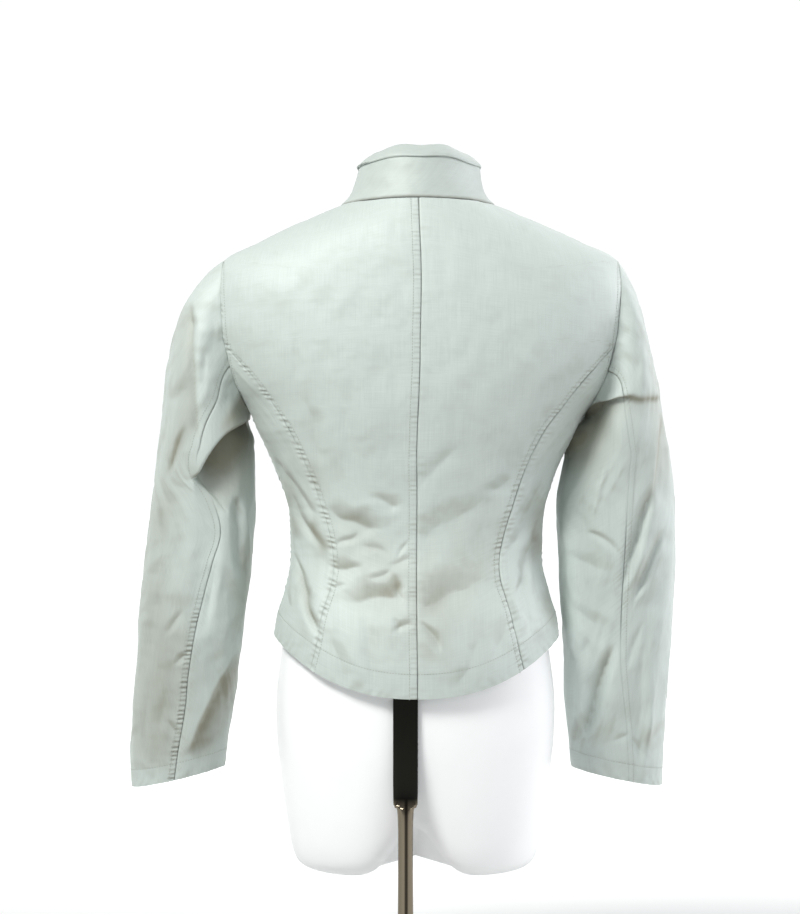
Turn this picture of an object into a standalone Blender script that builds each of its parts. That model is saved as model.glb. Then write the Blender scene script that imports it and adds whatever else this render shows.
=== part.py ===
"""A short fitted summer jacket on a smooth torso form, which a tube stand with a flattened top carries.

Metres, +Z up. The origin is the middle of the base's underside. The jacket's back faces -Y and its front +Y,
so the wearer's right is +X. The jacket is a set of sewn panels, each an open sheet thickened inwards to a wall.
"""

import math

import bmesh
import bpy
import numpy as np

LEFT, RIGHT = -1, 1
SIDE_NAMES = {LEFT: "left", RIGHT: "right"}

# Cloth, seams and closure
WALL = 0.0012
COLLAR_WALL = 0.0020
SEAM_GAP = 0.0003
SLEEVE_SET_GAP = 0.0006
SLEEVE_SEAM_GAP = 0.0011
FRONT_LAP = 0.013  # how far each front runs past the centre front
LAP_RAISE = WALL + 0.0009  # the upper front stands this far out where it laps
LAP_RAMP = (0.020, 0.060)  # distances from the centre front where that raise starts to fall and ends
BUTTON_RADIUS = 0.009
BUTTON_HEIGHTS = (0.430, 0.515, 0.600, 0.685, 0.765)
BUTTON_CLEARANCE = 0.0008

# Levels of the body table at the underarm, where the princess seam meets the armhole, and at the shoulder
UNDERARM, SHOULDER, NECK = 8, 13, 17
ARMHOLE_STEPS = 9
ARMHOLE_ROUNDING = 0.4
JUNCTION_STEP = 4
PRINCESS_TIP = 0.001  # width that the side back panel keeps at its tip

# Mesh density
HEM_TO_UNDERARM_ROWS = 12
SHOULDER_TO_NECK_ROWS = 5
BACK_COLUMNS, SIDE_COLUMNS, FRONT_COLUMNS = 7, 4, 9
CLUSTER = 1.3  # panel columns stand closer together towards the shoulder by this power
CAP_ROWS = 9
FINE = 60

# Stand
BASE_RADIUS = 0.160
STAND_X = -0.0105
STAND_Y = -0.1213
FORM_COLUMNS = 40
FORM_ARCH = 0.052  # height of the shallow arch in the form's lower edge
FORM_ARCH_HALF_WIDTH = 0.030
FORM_BOTTOM, FORM_ARCH_TOP = 0.158, 0.300


class Table:
    """Rows of named sizes, read between the rows along a smooth curve."""

    def __init__(self, columns, rows):
        self.columns = dict(zip(columns.split(), np.array(rows, float).T))
        self.last = len(rows) - 1

    def at(self, name, place):
        values = self.columns[name]
        place = np.clip(np.asarray(place, float), 0, self.last)
        first = np.minimum(place.astype(int), self.last - 1)
        t = place - first
        ends = [2 * values[0] - values[1]], [2 * values[-1] - values[-2]]
        a, b, c, d = (np.concatenate([ends[0], values, ends[1]])[first + k] for k in range(4))
        return b + 0.5 * t * (c - a + t * (2 * a - 5 * b + 4 * c - d + t * (3 * (b - c) + d - a)))


RING = "z_side z_back z_front half_width back front squareness shift"

# The jacket's body, a ring for each level from the hem (0) to the neck seam (17)
BODY = Table(RING, [
    (0.405, 0.348, 0.392, 0.1490, 0.1300, 0.114, 2.30, 0.0015),
    (0.425, 0.380, 0.415, 0.1460, 0.1290, 0.111, 2.30, 0.0015),
    (0.450, 0.420, 0.443, 0.1385, 0.1190, 0.106, 2.30, 0.0010),
    (0.478, 0.460, 0.475, 0.1322, 0.1010, 0.101, 2.30, 0.0008),
    (0.505, 0.497, 0.503, 0.1320, 0.0900, 0.099, 2.30, 0.0010),
    (0.545, 0.545, 0.545, 0.1360, 0.0910, 0.104, 2.30, 0.0013),
    (0.585, 0.588, 0.583, 0.1507, 0.0990, 0.116, 2.30, 0.0010),
    (0.615, 0.622, 0.613, 0.1655, 0.1060, 0.127, 2.35, 0.0018),
    (0.637, 0.650, 0.640, 0.1760, 0.1105, 0.131, 2.40, 0.0030),
    (0.668, 0.680, 0.668, 0.1980, 0.1125, 0.128, 2.50, 0.0042),
    (0.700, 0.708, 0.694, 0.2140, 0.1130, 0.121, 2.50, 0.0045),
    (0.735, 0.733, 0.718, 0.2220, 0.1120, 0.112, 2.50, 0.0050),
    (0.768, 0.756, 0.740, 0.2200, 0.1095, 0.102, 2.50, 0.0055),
    (0.796, 0.778, 0.760, 0.2050, 0.1065, 0.092, 2.40, 0.0055),
    (0.813, 0.802, 0.776, 0.1720, 0.1020, 0.082, 2.30, 0.0048),
    (0.829, 0.823, 0.789, 0.1380, 0.0960, 0.074, 2.20, 0.0040),
    (0.843, 0.840, 0.799, 0.1060, 0.0880, 0.067, 2.10, 0.0034),
    (0.8525, 0.8546, 0.806, 0.0820, 0.0800, 0.061, 2.00, 0.0030),
])

# Distance of the back princess seam from the centre back, for levels 0 to 10
PRINCESS = Table("x", [
    (0.108,), (0.102,), (0.095,), (0.0855,), (0.0865,), (0.099,),
    (0.115,), (0.131,), (0.1475,), (0.171,), (0.1985,),
])

# Distance of the armhole's edge from the centre, at the back and the front, for levels 8 to 13
ARMHOLE = Table("back front", [
    (0.1760, 0.1760), (0.191, 0.180), (0.200, 0.178), (0.204, 0.182), (0.206, 0.193), (0.205, 0.205),
])

# The sleeves below the cap, a ring for each row down to the cuff; tilt is how far the outer edge hangs below the middle
SLEEVE_RING = "z x y half_x half_y tilt"
SLEEVES = {
    RIGHT: Table(SLEEVE_RING, [
        (0.600, 0.2140, 0.010, 0.0540, 0.0620, 0.000),
        (0.545, 0.2120, 0.018, 0.0620, 0.0580, 0.000),
        (0.481, 0.2138, 0.027, 0.0620, 0.0545, 0.001),
        (0.438, 0.2143, 0.033, 0.0600, 0.0525, 0.003),
        (0.373, 0.2150, 0.042, 0.0560, 0.0500, 0.005),
        (0.330, 0.2140, 0.049, 0.0535, 0.0480, 0.007),
        (0.287, 0.2150, 0.055, 0.0510, 0.0460, 0.009),
        (0.249, 0.2164, 0.060, 0.0489, 0.0445, 0.010),
    ]),
    LEFT: Table(SLEEVE_RING, [
        (0.602, 0.2197, 0.010, 0.0500, 0.0620, 0.000),
        (0.545, 0.2235, 0.018, 0.0545, 0.0580, 0.000),
        (0.481, 0.2296, 0.026, 0.0567, 0.0545, 0.001),
        (0.438, 0.2349, 0.032, 0.0574, 0.0525, 0.003),
        (0.373, 0.2425, 0.041, 0.0549, 0.0500, 0.005),
        (0.330, 0.2465, 0.047, 0.0550, 0.0480, 0.007),
        (0.287, 0.2511, 0.052, 0.0531, 0.0460, 0.009),
        (0.249, 0.2533, 0.056, 0.0505, 0.0445, 0.0115),
    ]),
}
SLEEVE_ROWS = SLEEVES[RIGHT].last
SLEEVE_MEAN_RADIUS = 0.055

# The way that the cap leaves the armhole: out, spreading to the front and back, and down, more level at the shoulder
CAP_OUT, CAP_OUT_AT_TOP = 0.62, 0.22
CAP_SPREAD = 0.18
CAP_DOWN, CAP_LEVEL_AT_TOP = 0.68, 0.15
CAP_REACH = 0.36  # share of the way to the sleeve's first ring over which the cap keeps its direction

# How much closer each cap's top falls to the arm: less out, more down, a shorter upper and longer lower bend, drawn in
CAP_HUG = {
    RIGHT: dict(out=0.24, down=0.27, upper_reach=0.16, lower_reach=0.09, draw_in=0.010),
    LEFT: dict(out=0.0, down=0.0, upper_reach=0.0, lower_reach=0.0, draw_in=0.0),
}
FOLDS_START = 0.33  # share of the cap over which the folds fade in from the armhole

# Angles of the back and front sleeve seams round the sleeve, for the armhole, the cap's end and the rows below it
SEAM_ANGLES = {
    RIGHT: Table("back front", [
        (235, 126), (277, 122), (277, 120), (273, 118), (271, 117), (270, 116), (276, 115), (280, 114), (281, 114),
    ]),
    LEFT: Table("back front", [
        (239, 126), (276, 122), (256, 120), (250, 118), (257, 117), (263, 116), (264, 115), (267, 114), (271, 114),
    ]),
}

# The largest folds of the sleeves: a crease runs between two places, each an angle round the sleeve and a height
SLEEVE_FOLDS = {
    RIGHT: [
        dict(start=(206, 0.640), end=(335, 0.648), half_width=0.013, depth=-0.009),
        dict(start=(214, 0.600), end=(240, 0.520), half_width=0.016, depth=-0.006),
        dict(start=(318, 0.600), end=(305, 0.440), half_width=0.012, depth=-0.005),
        dict(start=(250, 0.360), end=(215, 0.290), half_width=0.015, depth=-0.006),
        dict(start=(70, 0.560), end=(120, 0.500), half_width=0.018, depth=-0.007),
        dict(start=(60, 0.440), end=(100, 0.400), half_width=0.016, depth=-0.005),
    ],
    LEFT: [
        dict(start=(276, 0.574), end=(192, 0.604), half_width=0.014, depth=-0.020),
        dict(start=(222, 0.545), end=(236, 0.490), half_width=0.012, depth=-0.007),
        dict(start=(296, 0.690), end=(305, 0.560), half_width=0.013, depth=-0.005),
        dict(start=(205, 0.420), end=(250, 0.300), half_width=0.015, depth=-0.007),
        dict(start=(70, 0.570), end=(125, 0.505), half_width=0.018, depth=-0.007),
        dict(start=(65, 0.450), end=(100, 0.400), half_width=0.016, depth=-0.005),
    ],
}

# The largest folds of the back: a crease runs between two places, each an x and a height
BACK_FOLDS = [
    dict(start=(-0.098, 0.548), end=(-0.040, 0.524), half_width=0.013, depth=-0.004),
    dict(start=(-0.080, 0.486), end=(-0.030, 0.474), half_width=0.013, depth=-0.004),
    dict(start=(0.080, 0.520), end=(0.020, 0.455), half_width=0.018, depth=-0.004),
    dict(start=(0.075, 0.660), end=(0.020, 0.560), half_width=0.020, depth=-0.003),
]

# The collar's rings: the stand's four, then the leaf's three
COLLAR_STAND = Table(RING, [
    (0.8531, 0.8552, 0.8069, 0.0818, 0.0798, 0.0606, 2.0, 0.0030),
    (0.8640, 0.8700, 0.8200, 0.0720, 0.0755, 0.0575, 2.0, 0.0030),
    (0.8790, 0.8860, 0.8345, 0.0665, 0.0710, 0.0550, 2.0, 0.0035),
    (0.8940, 0.9000, 0.8480, 0.0635, 0.0680, 0.0530, 2.0, 0.0040),
])
COLLAR_LEAF = Table(RING, [
    (0.8952, 0.9012, 0.8492, 0.0626, 0.0671, 0.0521, 2.0, 0.0040),
    (0.9014, 0.9076, 0.8560, 0.0575, 0.0625, 0.0478, 2.0, 0.0045),
    (0.9052, 0.9122, 0.8602, 0.0510, 0.0570, 0.0420, 2.0, 0.0050),
])
COLLAR_ROWS = {"collar_stand": 4, "collar_leaf": 3}
COLLAR_FRONT_GAP = 0.0010

# The form below the jacket's waist, and its neck; between them it follows the jacket's body, drawn in by the eases
FORM_HIPS = [
    (0.158, 0.158, 0.158, 0.060, 0.042, 0.038, 2.4, 0.0000),
    (0.160, 0.160, 0.160, 0.100, 0.070, 0.062, 2.4, 0.0000),
    (0.167, 0.167, 0.167, 0.120, 0.088, 0.078, 2.4, 0.0000),
    (0.182, 0.182, 0.182, 0.1285, 0.098, 0.087, 2.4, 0.0000),
    (0.215, 0.215, 0.215, 0.1345, 0.106, 0.093, 2.4, 0.0000),
    (0.255, 0.255, 0.255, 0.1400, 0.112, 0.098, 2.4, 0.0000),
    (0.300, 0.300, 0.300, 0.1450, 0.1165, 0.101, 2.4, 0.0000),
    (0.340, 0.340, 0.340, 0.1455, 0.1175, 0.102, 2.4, 0.0000),
    (0.380, 0.380, 0.380, 0.1410, 0.1150, 0.102, 2.4, 0.0000),
    (0.420, 0.420, 0.420, 0.1340, 0.1070, 0.099, 2.3, 0.0000),
    (0.460, 0.460, 0.460, 0.1245, 0.0910, 0.094, 2.3, 0.0000),
]
FORM_EASE_FROM = 4
FORM_EASE = Table("side back front drop", [
    (0.008, 0.009, 0.008, 0.0),
    (0.0075, 0.008, 0.008, 0.0),
    (0.007, 0.007, 0.008, 0.0),
    (0.006, 0.006, 0.008, 0.0),
    (0.006, 0.006, 0.008, 0.0),
    (0.006, 0.006, 0.007, 0.0),
    (0.006, 0.006, 0.007, 0.0010),
    (0.007, 0.006, 0.008, 0.0015),
    (0.008, 0.006, 0.009, 0.0020),
    (0.005, 0.007, 0.009, 0.0022),
    (0.000, 0.007, 0.007, 0.0022),
    (0.000, 0.007, 0.007, 0.0022),
    (0.000, 0.007, 0.007, 0.0024),
    (0.006, 0.008, 0.008, 0.0030),
])
FORM_NECK = [
    (0.868, 0.866, 0.829, 0.0590, 0.0580, 0.0460, 2.0, 0.0030),
    (0.880, 0.878, 0.845, 0.0520, 0.0520, 0.0380, 2.0, 0.0030),
    (0.8835, 0.8825, 0.852, 0.0450, 0.0450, 0.0320, 2.0, 0.0030),
    (0.885, 0.8845, 0.862, 0.0230, 0.0230, 0.0160, 2.0, 0.0030),
]

# The stand's tube, from its foot to the flattened end behind the form
TUBE = Table("z half_x half_y squareness", [
    (0.0106, 0.0078, 0.0078, 2.0),
    (0.120, 0.0078, 0.0078, 2.0),
    (0.226, 0.0078, 0.0078, 2.0),
    (0.240, 0.0112, 0.0058, 2.4),
    (0.250, 0.0124, 0.0036, 3.4),
    (0.316, 0.0125, 0.0033, 4.0),
    (0.382, 0.0125, 0.0033, 4.0),
])
TUBE_SIDES = 20
BASE_PROFILE = [
    (0.0, 0.0110), (0.1480, 0.0100), (0.1570, 0.0080), (BASE_RADIUS, 0.0045), (0.1590, 0.0), (0.0, 0.0),
]
BUTTON_PROFILE = [
    (0.0, 0.0020), (0.0056, 0.0020), (0.0070, 0.0029), (0.0084, 0.0026), (BUTTON_RADIUS, 0.0014), (0.0082, 0.0),
    (0.0, 0.0),
]
BASE_STEPS, BUTTON_STEPS = 40, 14

COLOURS = {
    "cloth": dict(colour=(0.56, 0.61, 0.56), roughness=0.48, metallic=0.0),
    "button": dict(colour=(0.50, 0.54, 0.50), roughness=0.35, metallic=0.0),
    "form": dict(colour=(0.86, 0.87, 0.88), roughness=0.35, metallic=0.0),
    "chrome": dict(colour=(0.55, 0.54, 0.52), roughness=0.12, metallic=1.0),
}


# Surfaces

def ring_point(table, side, angle, level):
    """A point of a ring table. The angle is -90 degrees at the centre back, 0 at the side and 90 at the centre front."""
    cosine, sine = np.cos(angle), np.sin(angle)
    behind = sine < 0
    depth = np.where(behind, table.at("back", level), table.at("front", level))
    middle_z = np.where(behind, table.at("z_back", level), table.at("z_front", level))
    side_z = table.at("z_side", level)
    power = 2 / table.at("squareness", level)
    x = side * table.at("half_width", level) * np.sign(cosine) * np.abs(cosine) ** power + table.at("shift", level)
    y = depth * np.sign(sine) * np.abs(sine) ** power
    z = side_z + (middle_z - side_z) * sine ** 2
    return np.stack([x, y, z], axis=-1)


def unit(vectors):
    return vectors / np.linalg.norm(vectors, axis=-1, keepdims=True)


def crease_height(folds, across, along, across_size=1.0):
    """How far the folds move the cloth in or out at places on it, where a step across has the size given."""
    size = np.array([across_size, 1.0])
    place = np.stack([across, along], axis=-1) * size
    height = np.zeros(len(place))
    for fold in folds:
        start, end = fold["start"] * size, fold["end"] * size
        line = end - start
        share = np.clip(((place - start) @ line) / (line @ line), 0, 1)
        distance = np.linalg.norm(place - start - share[:, None] * line, axis=-1)
        height += fold["depth"] * np.exp(-(distance / fold["half_width"]) ** 2)
    return height


def body_point(side, angle, level):
    """A point of the jacket's body, with the folds of its back."""
    point = ring_point(BODY, side, angle, level)
    squareness = BODY.at("squareness", level)
    depth = np.where(np.sin(angle) < 0, BODY.at("back", level), BODY.at("front", level))
    half_width = BODY.at("half_width", level)
    across = point[..., 0] - BODY.at("shift", level)
    out_x = np.sign(across) * np.abs(across / half_width) ** (squareness - 1) / half_width
    out_y = np.sign(point[..., 1]) * np.abs(point[..., 1] / depth) ** (squareness - 1) / depth
    out = unit(np.stack([out_x, out_y, np.zeros_like(out_x)], axis=-1))
    height = crease_height(BACK_FOLDS, point[..., 0], point[..., 2]) * (np.sin(angle) < 0)
    return point + out * height[..., None]


def angle_at(level, x):
    """The angle from the centre front or back line to the side at which a level is x from the middle."""
    share = np.clip(x / BODY.at("half_width", level), 0, 1)
    return np.arccos(share ** (BODY.at("squareness", level) / 2))


def armhole_angle(level, where):
    return angle_at(level, ARMHOLE.at(where, level - UNDERARM))


# Levels of the mesh rows

def armhole_levels():
    """Levels up the armhole, closer together at its round bottom and top."""
    even = np.linspace(0, 1, ARMHOLE_STEPS + 1)
    rounded = (1 - np.cos(math.pi * even)) / 2
    return UNDERARM + (SHOULDER - UNDERARM) * (ARMHOLE_ROUNDING * rounded + (1 - ARMHOLE_ROUNDING) * even)


LOW_LEVELS = np.linspace(0, UNDERARM, HEM_TO_UNDERARM_ROWS)
ARMHOLE_LEVELS = armhole_levels()
HIGH_LEVELS = np.linspace(SHOULDER, NECK, SHOULDER_TO_NECK_ROWS)
LEVELS = np.concatenate([LOW_LEVELS, ARMHOLE_LEVELS[1:], HIGH_LEVELS[1:]])
JUNCTION = ARMHOLE_LEVELS[JUNCTION_STEP]


# Panel outlines: the angles where each level of a panel starts and ends

def princess_angle(level):
    x = PRINCESS.at("x", level)
    if level > UNDERARM:
        x = min(x, ARMHOLE.at("back", level - UNDERARM) - PRINCESS_TIP)
    return -angle_at(level, x)


def back_outline(level):
    if level <= JUNCTION:
        outer = princess_angle(level)
    elif level < SHOULDER:
        outer = -armhole_angle(level, "back")
    else:
        outer = 0.0
    return -math.pi / 2, outer


def side_outline(level):
    outer = -armhole_angle(level, "back") if level > UNDERARM else 0.0
    return princess_angle(level), outer


def front_outline(level):
    outer = armhole_angle(level, "front") if UNDERARM < level < SHOULDER else 0.0
    past_middle = math.pi - angle_at(level, FRONT_LAP)
    return outer, past_middle


def column_angles(side, level, start, end, columns):
    """Angles that part one level of a panel along the cloth, with half a seam gap left at both ends."""
    fine = np.linspace(start, end, FINE)
    points = body_point(side, fine, np.full(FINE, level))
    run = np.concatenate([[0], np.cumsum(np.linalg.norm(np.diff(points, axis=0), axis=1))])
    share = np.linspace(0, 1, columns + 1)
    share = 1 - (1 - share) ** CLUSTER if start < 0 else share ** CLUSTER
    return np.interp(SEAM_GAP / 2 + (run[-1] - SEAM_GAP) * share, run, fine)


def lap_raise(x):
    """How far the right front stands out near the centre front, where it covers the left one."""
    near, far = LAP_RAMP
    share = np.clip((far - x) / (far - near), 0, 1)
    return LAP_RAISE * share ** 2 * (3 - 2 * share)


def panel_grid(side, levels, outline, columns):
    """The points of a body panel, a row for each level."""
    rows = []
    for level in levels:
        angles = column_angles(side, level, *outline(level), columns)
        rows.append(body_point(side, angles, np.full(columns + 1, level)))
    return np.array(rows)


# Sleeves

def armhole_loop(side):
    """Angles round the armhole, 0 at the shoulder, 90 at the front and 180 at the underarm, and their points."""
    halves = []
    for where, sign, levels in (("front", 1, ARMHOLE_LEVELS[::-1]), ("back", -1, ARMHOLE_LEVELS)):
        angles = sign * np.array([armhole_angle(level, where) for level in levels])
        points = body_point(side, angles, levels)
        run = np.concatenate([[0], np.cumsum(np.linalg.norm(np.diff(points, axis=0), axis=1))])
        halves.append((180 * run / run[-1], points))
    (front_turn, front), (back_turn, back) = halves
    return np.concatenate([front_turn, 180 + back_turn[1:]]), np.concatenate([front, back[1:]])


def sleeve_ring(side, angle, row):
    """A point of the sleeve below its cap."""
    table = SLEEVES[side]
    cosine, sine = np.cos(angle), np.sin(angle)
    x = side * (table.at("x", row) + table.at("half_x", row) * cosine)
    y = table.at("y", row) + table.at("half_y", row) * sine
    z = table.at("z", row) - table.at("tilt", row) * cosine
    return np.stack([x, y, z], axis=-1)


def cap_point(side, turn, share):
    """A point of the sleeve cap, which bends from the armhole down into the sleeve's first ring."""
    loop_turn, loop = armhole_loop(side)
    seam = np.stack([np.interp(turn, loop_turn, loop[:, k]) for k in range(3)], axis=-1)
    angle = np.radians(turn)
    cosine, sine = np.cos(angle), np.sin(angle)
    hug = CAP_HUG[side]
    top = np.clip(cosine, 0, 1) ** 2
    out = side * (CAP_OUT + CAP_OUT_AT_TOP * cosine - hug["out"] * top)
    down = CAP_DOWN - CAP_LEVEL_AT_TOP * cosine + hug["down"] * top
    leave = unit(np.stack([out, CAP_SPREAD * sine, -down], axis=-1))
    ring = sleeve_ring(side, angle, np.zeros_like(angle))
    arrive = unit(sleeve_ring(side, angle, np.full_like(angle, 0.05)) - ring)
    way = np.linalg.norm(ring - seam, axis=-1)
    upper = ((CAP_REACH - hug["upper_reach"] * top) * way)[..., None]
    lower = ((CAP_REACH + hug["lower_reach"] * top) * way)[..., None]
    seam = seam + leave * SLEEVE_SET_GAP
    low_handle = ring - arrive * lower
    low_handle[..., 0] -= side * hug["draw_in"] * top
    handles = seam, seam + leave * upper, low_handle, ring
    share = share[..., None]
    rest = 1 - share
    weights = rest ** 3, 3 * rest ** 2 * share, 3 * rest * share ** 2, share ** 3
    return sum(weight * handle for weight, handle in zip(weights, handles))


def smooth_sleeve(side, turn, place):
    """A row of the sleeve without its folds. The place is 0 at the armhole and 1 at the cap's end, then adds table rows."""
    if place <= 1:
        return cap_point(side, turn, np.full_like(turn, place))
    return sleeve_ring(side, np.radians(turn), np.full_like(turn, place - 1))


def sleeve_row(side, turn, place):
    """A row of the sleeve with its folds."""
    turn = np.mod(turn, 360)
    point = smooth_sleeve(side, turn, place)
    middle = smooth_sleeve(side, np.arange(0, 360, 30.0), place).mean(axis=0)
    height = crease_height(SLEEVE_FOLDS[side], turn, point[..., 2], math.radians(1) * SLEEVE_MEAN_RADIUS)
    height *= np.clip(place / FOLDS_START, 0, 1)
    return point + unit(point - middle) * height[..., None]


def sleeve_places():
    """Rows of the sleeve, closest together where the deep folds are."""
    cap = np.linspace(0, 1, CAP_ROWS)
    near = np.concatenate([np.linspace(1, 2, 6)[1:], np.linspace(2, 3, 5)[1:]])
    low = np.arange(3.5, SLEEVE_ROWS + 1.01, 0.5)
    return np.concatenate([cap, near, low])


def sleeve_grid(side, upper):
    """The points of an upper or under sleeve, between its back and front seams."""
    loop_turn, _ = armhole_loop(side)
    seams = SEAM_ANGLES[side]
    back_0 = loop_turn[np.argmin(np.abs(loop_turn - seams.at("back", 0)))]
    front_0 = loop_turn[np.argmin(np.abs(loop_turn - seams.at("front", 0)))]
    if upper:
        nodes = np.concatenate([loop_turn[loop_turn >= back_0] - 360, loop_turn[1:][loop_turn[1:] <= front_0]])
    else:
        nodes = loop_turn[(loop_turn >= front_0) & (loop_turn <= back_0)]
    shares = (nodes - nodes[0]) / (nodes[-1] - nodes[0])
    rows = []
    inset = np.degrees(SLEEVE_SEAM_GAP / 2 / SLEEVE_MEAN_RADIUS)
    for place in sleeve_places():
        if place < 1:
            back = back_0 + (seams.at("back", 1) - back_0) * place
            front = front_0 + (seams.at("front", 1) - front_0) * place
        else:
            back, front = (seams.at(name, place) for name in ("back", "front"))
        first, last = (back - 360, front) if upper else (front, back)
        turn = first + (last - first) * shares
        turn[0] += inset
        turn[-1] -= inset
        rows.append(sleeve_row(side, turn, place))
    return np.array(rows)


# Objects

def principled(name):
    finish = COLOURS[name]
    material = bpy.data.materials.new(name)
    material.use_nodes = True
    shader = material.node_tree.nodes["Principled BSDF"]
    shader.inputs["Base Color"].default_value = (*finish["colour"], 1)
    shader.inputs["Roughness"].default_value = finish["roughness"]
    shader.inputs["Metallic"].default_value = finish["metallic"]
    return material


def add_object(name, mesh, material, parent):
    thing = bpy.data.objects.new(name, mesh)
    thing.data.materials.append(material)
    thing.parent = parent
    parent.users_collection[0].objects.link(thing)
    mesh.shade_smooth()
    return thing


def sheet(name, grid, material, parent, wall=WALL, flip=False):
    """An open sheet through rows of points, thickened inwards to a wall."""
    if flip:
        grid = grid[:, ::-1]
    build = bmesh.new()
    points = [[build.verts.new(point) for point in row] for row in grid]
    for low, high in zip(points, points[1:]):
        for k in range(len(low) - 1):
            build.faces.new((low[k], low[k + 1], high[k + 1], high[k]))
    mesh = bpy.data.meshes.new(name)
    build.to_mesh(mesh)
    build.free()
    thing = add_object(name, mesh, material, parent)
    thicken = thing.modifiers.new("Wall", "SOLIDIFY")
    thicken.thickness = wall
    thicken.offset = -1
    return thing


def loft(name, rings, material, parent):
    """A closed solid through rings of points, with a fan over each end."""
    build = bmesh.new()
    loops = [[build.verts.new(point) for point in ring] for ring in rings]
    count = len(loops[0])
    for low, high in zip(loops, loops[1:]):
        for k in range(count):
            build.faces.new((low[k], low[(k + 1) % count], high[(k + 1) % count], high[k]))
    for loop in (loops[0], loops[-1]):
        middle = build.verts.new(np.mean([vertex.co for vertex in loop], axis=0))
        for k in range(count):
            build.faces.new((loop[k], loop[(k + 1) % count], middle))
    bmesh.ops.recalc_face_normals(build, faces=build.faces)
    mesh = bpy.data.meshes.new(name)
    build.to_mesh(mesh)
    build.free()
    return add_object(name, mesh, material, parent)


def turned(name, profile, steps, material, parent):
    """A solid of revolution about its own Z axis."""
    mesh = bpy.data.meshes.new(name)
    points = [(radius, 0, z) for radius, z in profile]
    mesh.from_pydata(points, [(k, k + 1) for k in range(len(points) - 1)], [])
    thing = add_object(name, mesh, material, parent)
    spin = thing.modifiers.new("Turn", "SCREW")
    spin.steps = spin.render_steps = steps
    spin.use_merge_vertices = True
    spin.merge_threshold = 0.00005
    return thing


# The jacket

def make_body(cloth, jacket):
    for side, word in SIDE_NAMES.items():
        mirrored = side == LEFT
        sheet(f"back_{word}", panel_grid(side, LEVELS, back_outline, BACK_COLUMNS), cloth, jacket, flip=mirrored)
        low = LEVELS[LEVELS <= JUNCTION]
        sheet(f"side_back_{word}", panel_grid(side, low, side_outline, SIDE_COLUMNS), cloth, jacket, flip=mirrored)
        front = panel_grid(side, LEVELS, front_outline, FRONT_COLUMNS)
        if side == RIGHT:
            middle = BODY.at("shift", LEVELS)
            front[..., 1] += lap_raise(front[..., 0] - middle[:, None])
        sheet(f"front_{word}", front, cloth, jacket, flip=mirrored)


def make_sleeves(cloth, jacket):
    for side, word in SIDE_NAMES.items():
        for upper, piece in ((True, "upper"), (False, "under")):
            sheet(f"sleeve_{piece}_{word}", sleeve_grid(side, upper), cloth, jacket, flip=side == RIGHT)


def neck_angles():
    """The angles of the neck seam's own points, from the centre back to just short of the centre front."""
    back = column_angles(RIGHT, NECK, *back_outline(NECK), BACK_COLUMNS)
    front = column_angles(RIGHT, NECK, *front_outline(NECK), FRONT_COLUMNS)
    stop = angle_at(NECK, COLLAR_FRONT_GAP)
    return np.concatenate([[-math.pi / 2], back[1:-1], [0.0], front[1:][front[1:] < stop], [stop]])


def make_collar(cloth, jacket):
    quarter = neck_angles()
    for name, table in (("collar_stand", COLLAR_STAND), ("collar_leaf", COLLAR_LEAF)):
        rows = []
        for level in np.linspace(0, table.last, COLLAR_ROWS[name]):
            levels = np.full(len(quarter), level)
            right = ring_point(table, RIGHT, quarter, levels)
            left = ring_point(table, LEFT, quarter, levels)
            rows.append(np.concatenate([left[::-1], right[1:]]))
        sheet(name, np.array(rows), cloth, jacket, wall=COLLAR_WALL)


def make_buttons(material, jacket):
    levels = np.linspace(0, NECK, 400)
    heights = BODY.at("z_front", levels)
    depths = BODY.at("front", levels)
    shifts = BODY.at("shift", levels)
    for number, height in enumerate(BUTTON_HEIGHTS, start=1):
        below, above = np.interp([height - BUTTON_RADIUS, height + BUTTON_RADIUS], heights, depths)
        slope = (above - below) / (2 * BUTTON_RADIUS)
        button = turned(f"button_{number}", BUTTON_PROFILE, BUTTON_STEPS, material, jacket)
        button.rotation_euler = (-math.pi / 2 - math.atan(slope), 0, 0)
        stand_off = LAP_RAISE + BUTTON_CLEARANCE
        middle, depth = (np.interp(height, heights, column) for column in (shifts, depths))
        button.location = (middle, depth + stand_off, height)


# The form and its stand

def form_rows():
    rows = [list(row) for row in FORM_HIPS]
    for level in range(FORM_EASE_FROM, NECK + 1):
        ease = {name: FORM_EASE.at(name, level - FORM_EASE_FROM) for name in ("side", "back", "front", "drop")}
        body = {name: BODY.at(name, level) for name in RING.split()}
        heights = [body[name] - ease["drop"] for name in ("z_side", "z_back", "z_front")]
        widths = [body["half_width"] - ease["side"], body["back"] - ease["back"], body["front"] - ease["front"]]
        rows.append(heights + widths + [body["squareness"], body["shift"]])
    return rows + [list(row) for row in FORM_NECK]


def make_form(white, stand):
    table = Table(RING, form_rows())
    turn = np.linspace(-math.pi, math.pi, FORM_COLUMNS, endpoint=False)
    rings = []
    for level in range(table.last + 1):
        ring = ring_point(table, RIGHT, turn, np.full(FORM_COLUMNS, level))
        low = np.clip((FORM_ARCH_TOP - ring[:, 2]) / (FORM_ARCH_TOP - FORM_BOTTOM), 0, 1)
        ring[:, 2] += FORM_ARCH * low * np.exp(-(ring[:, 0] / FORM_ARCH_HALF_WIDTH) ** 2)
        rings.append(ring)
    loft("form_torso", rings, white, stand)


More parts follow.
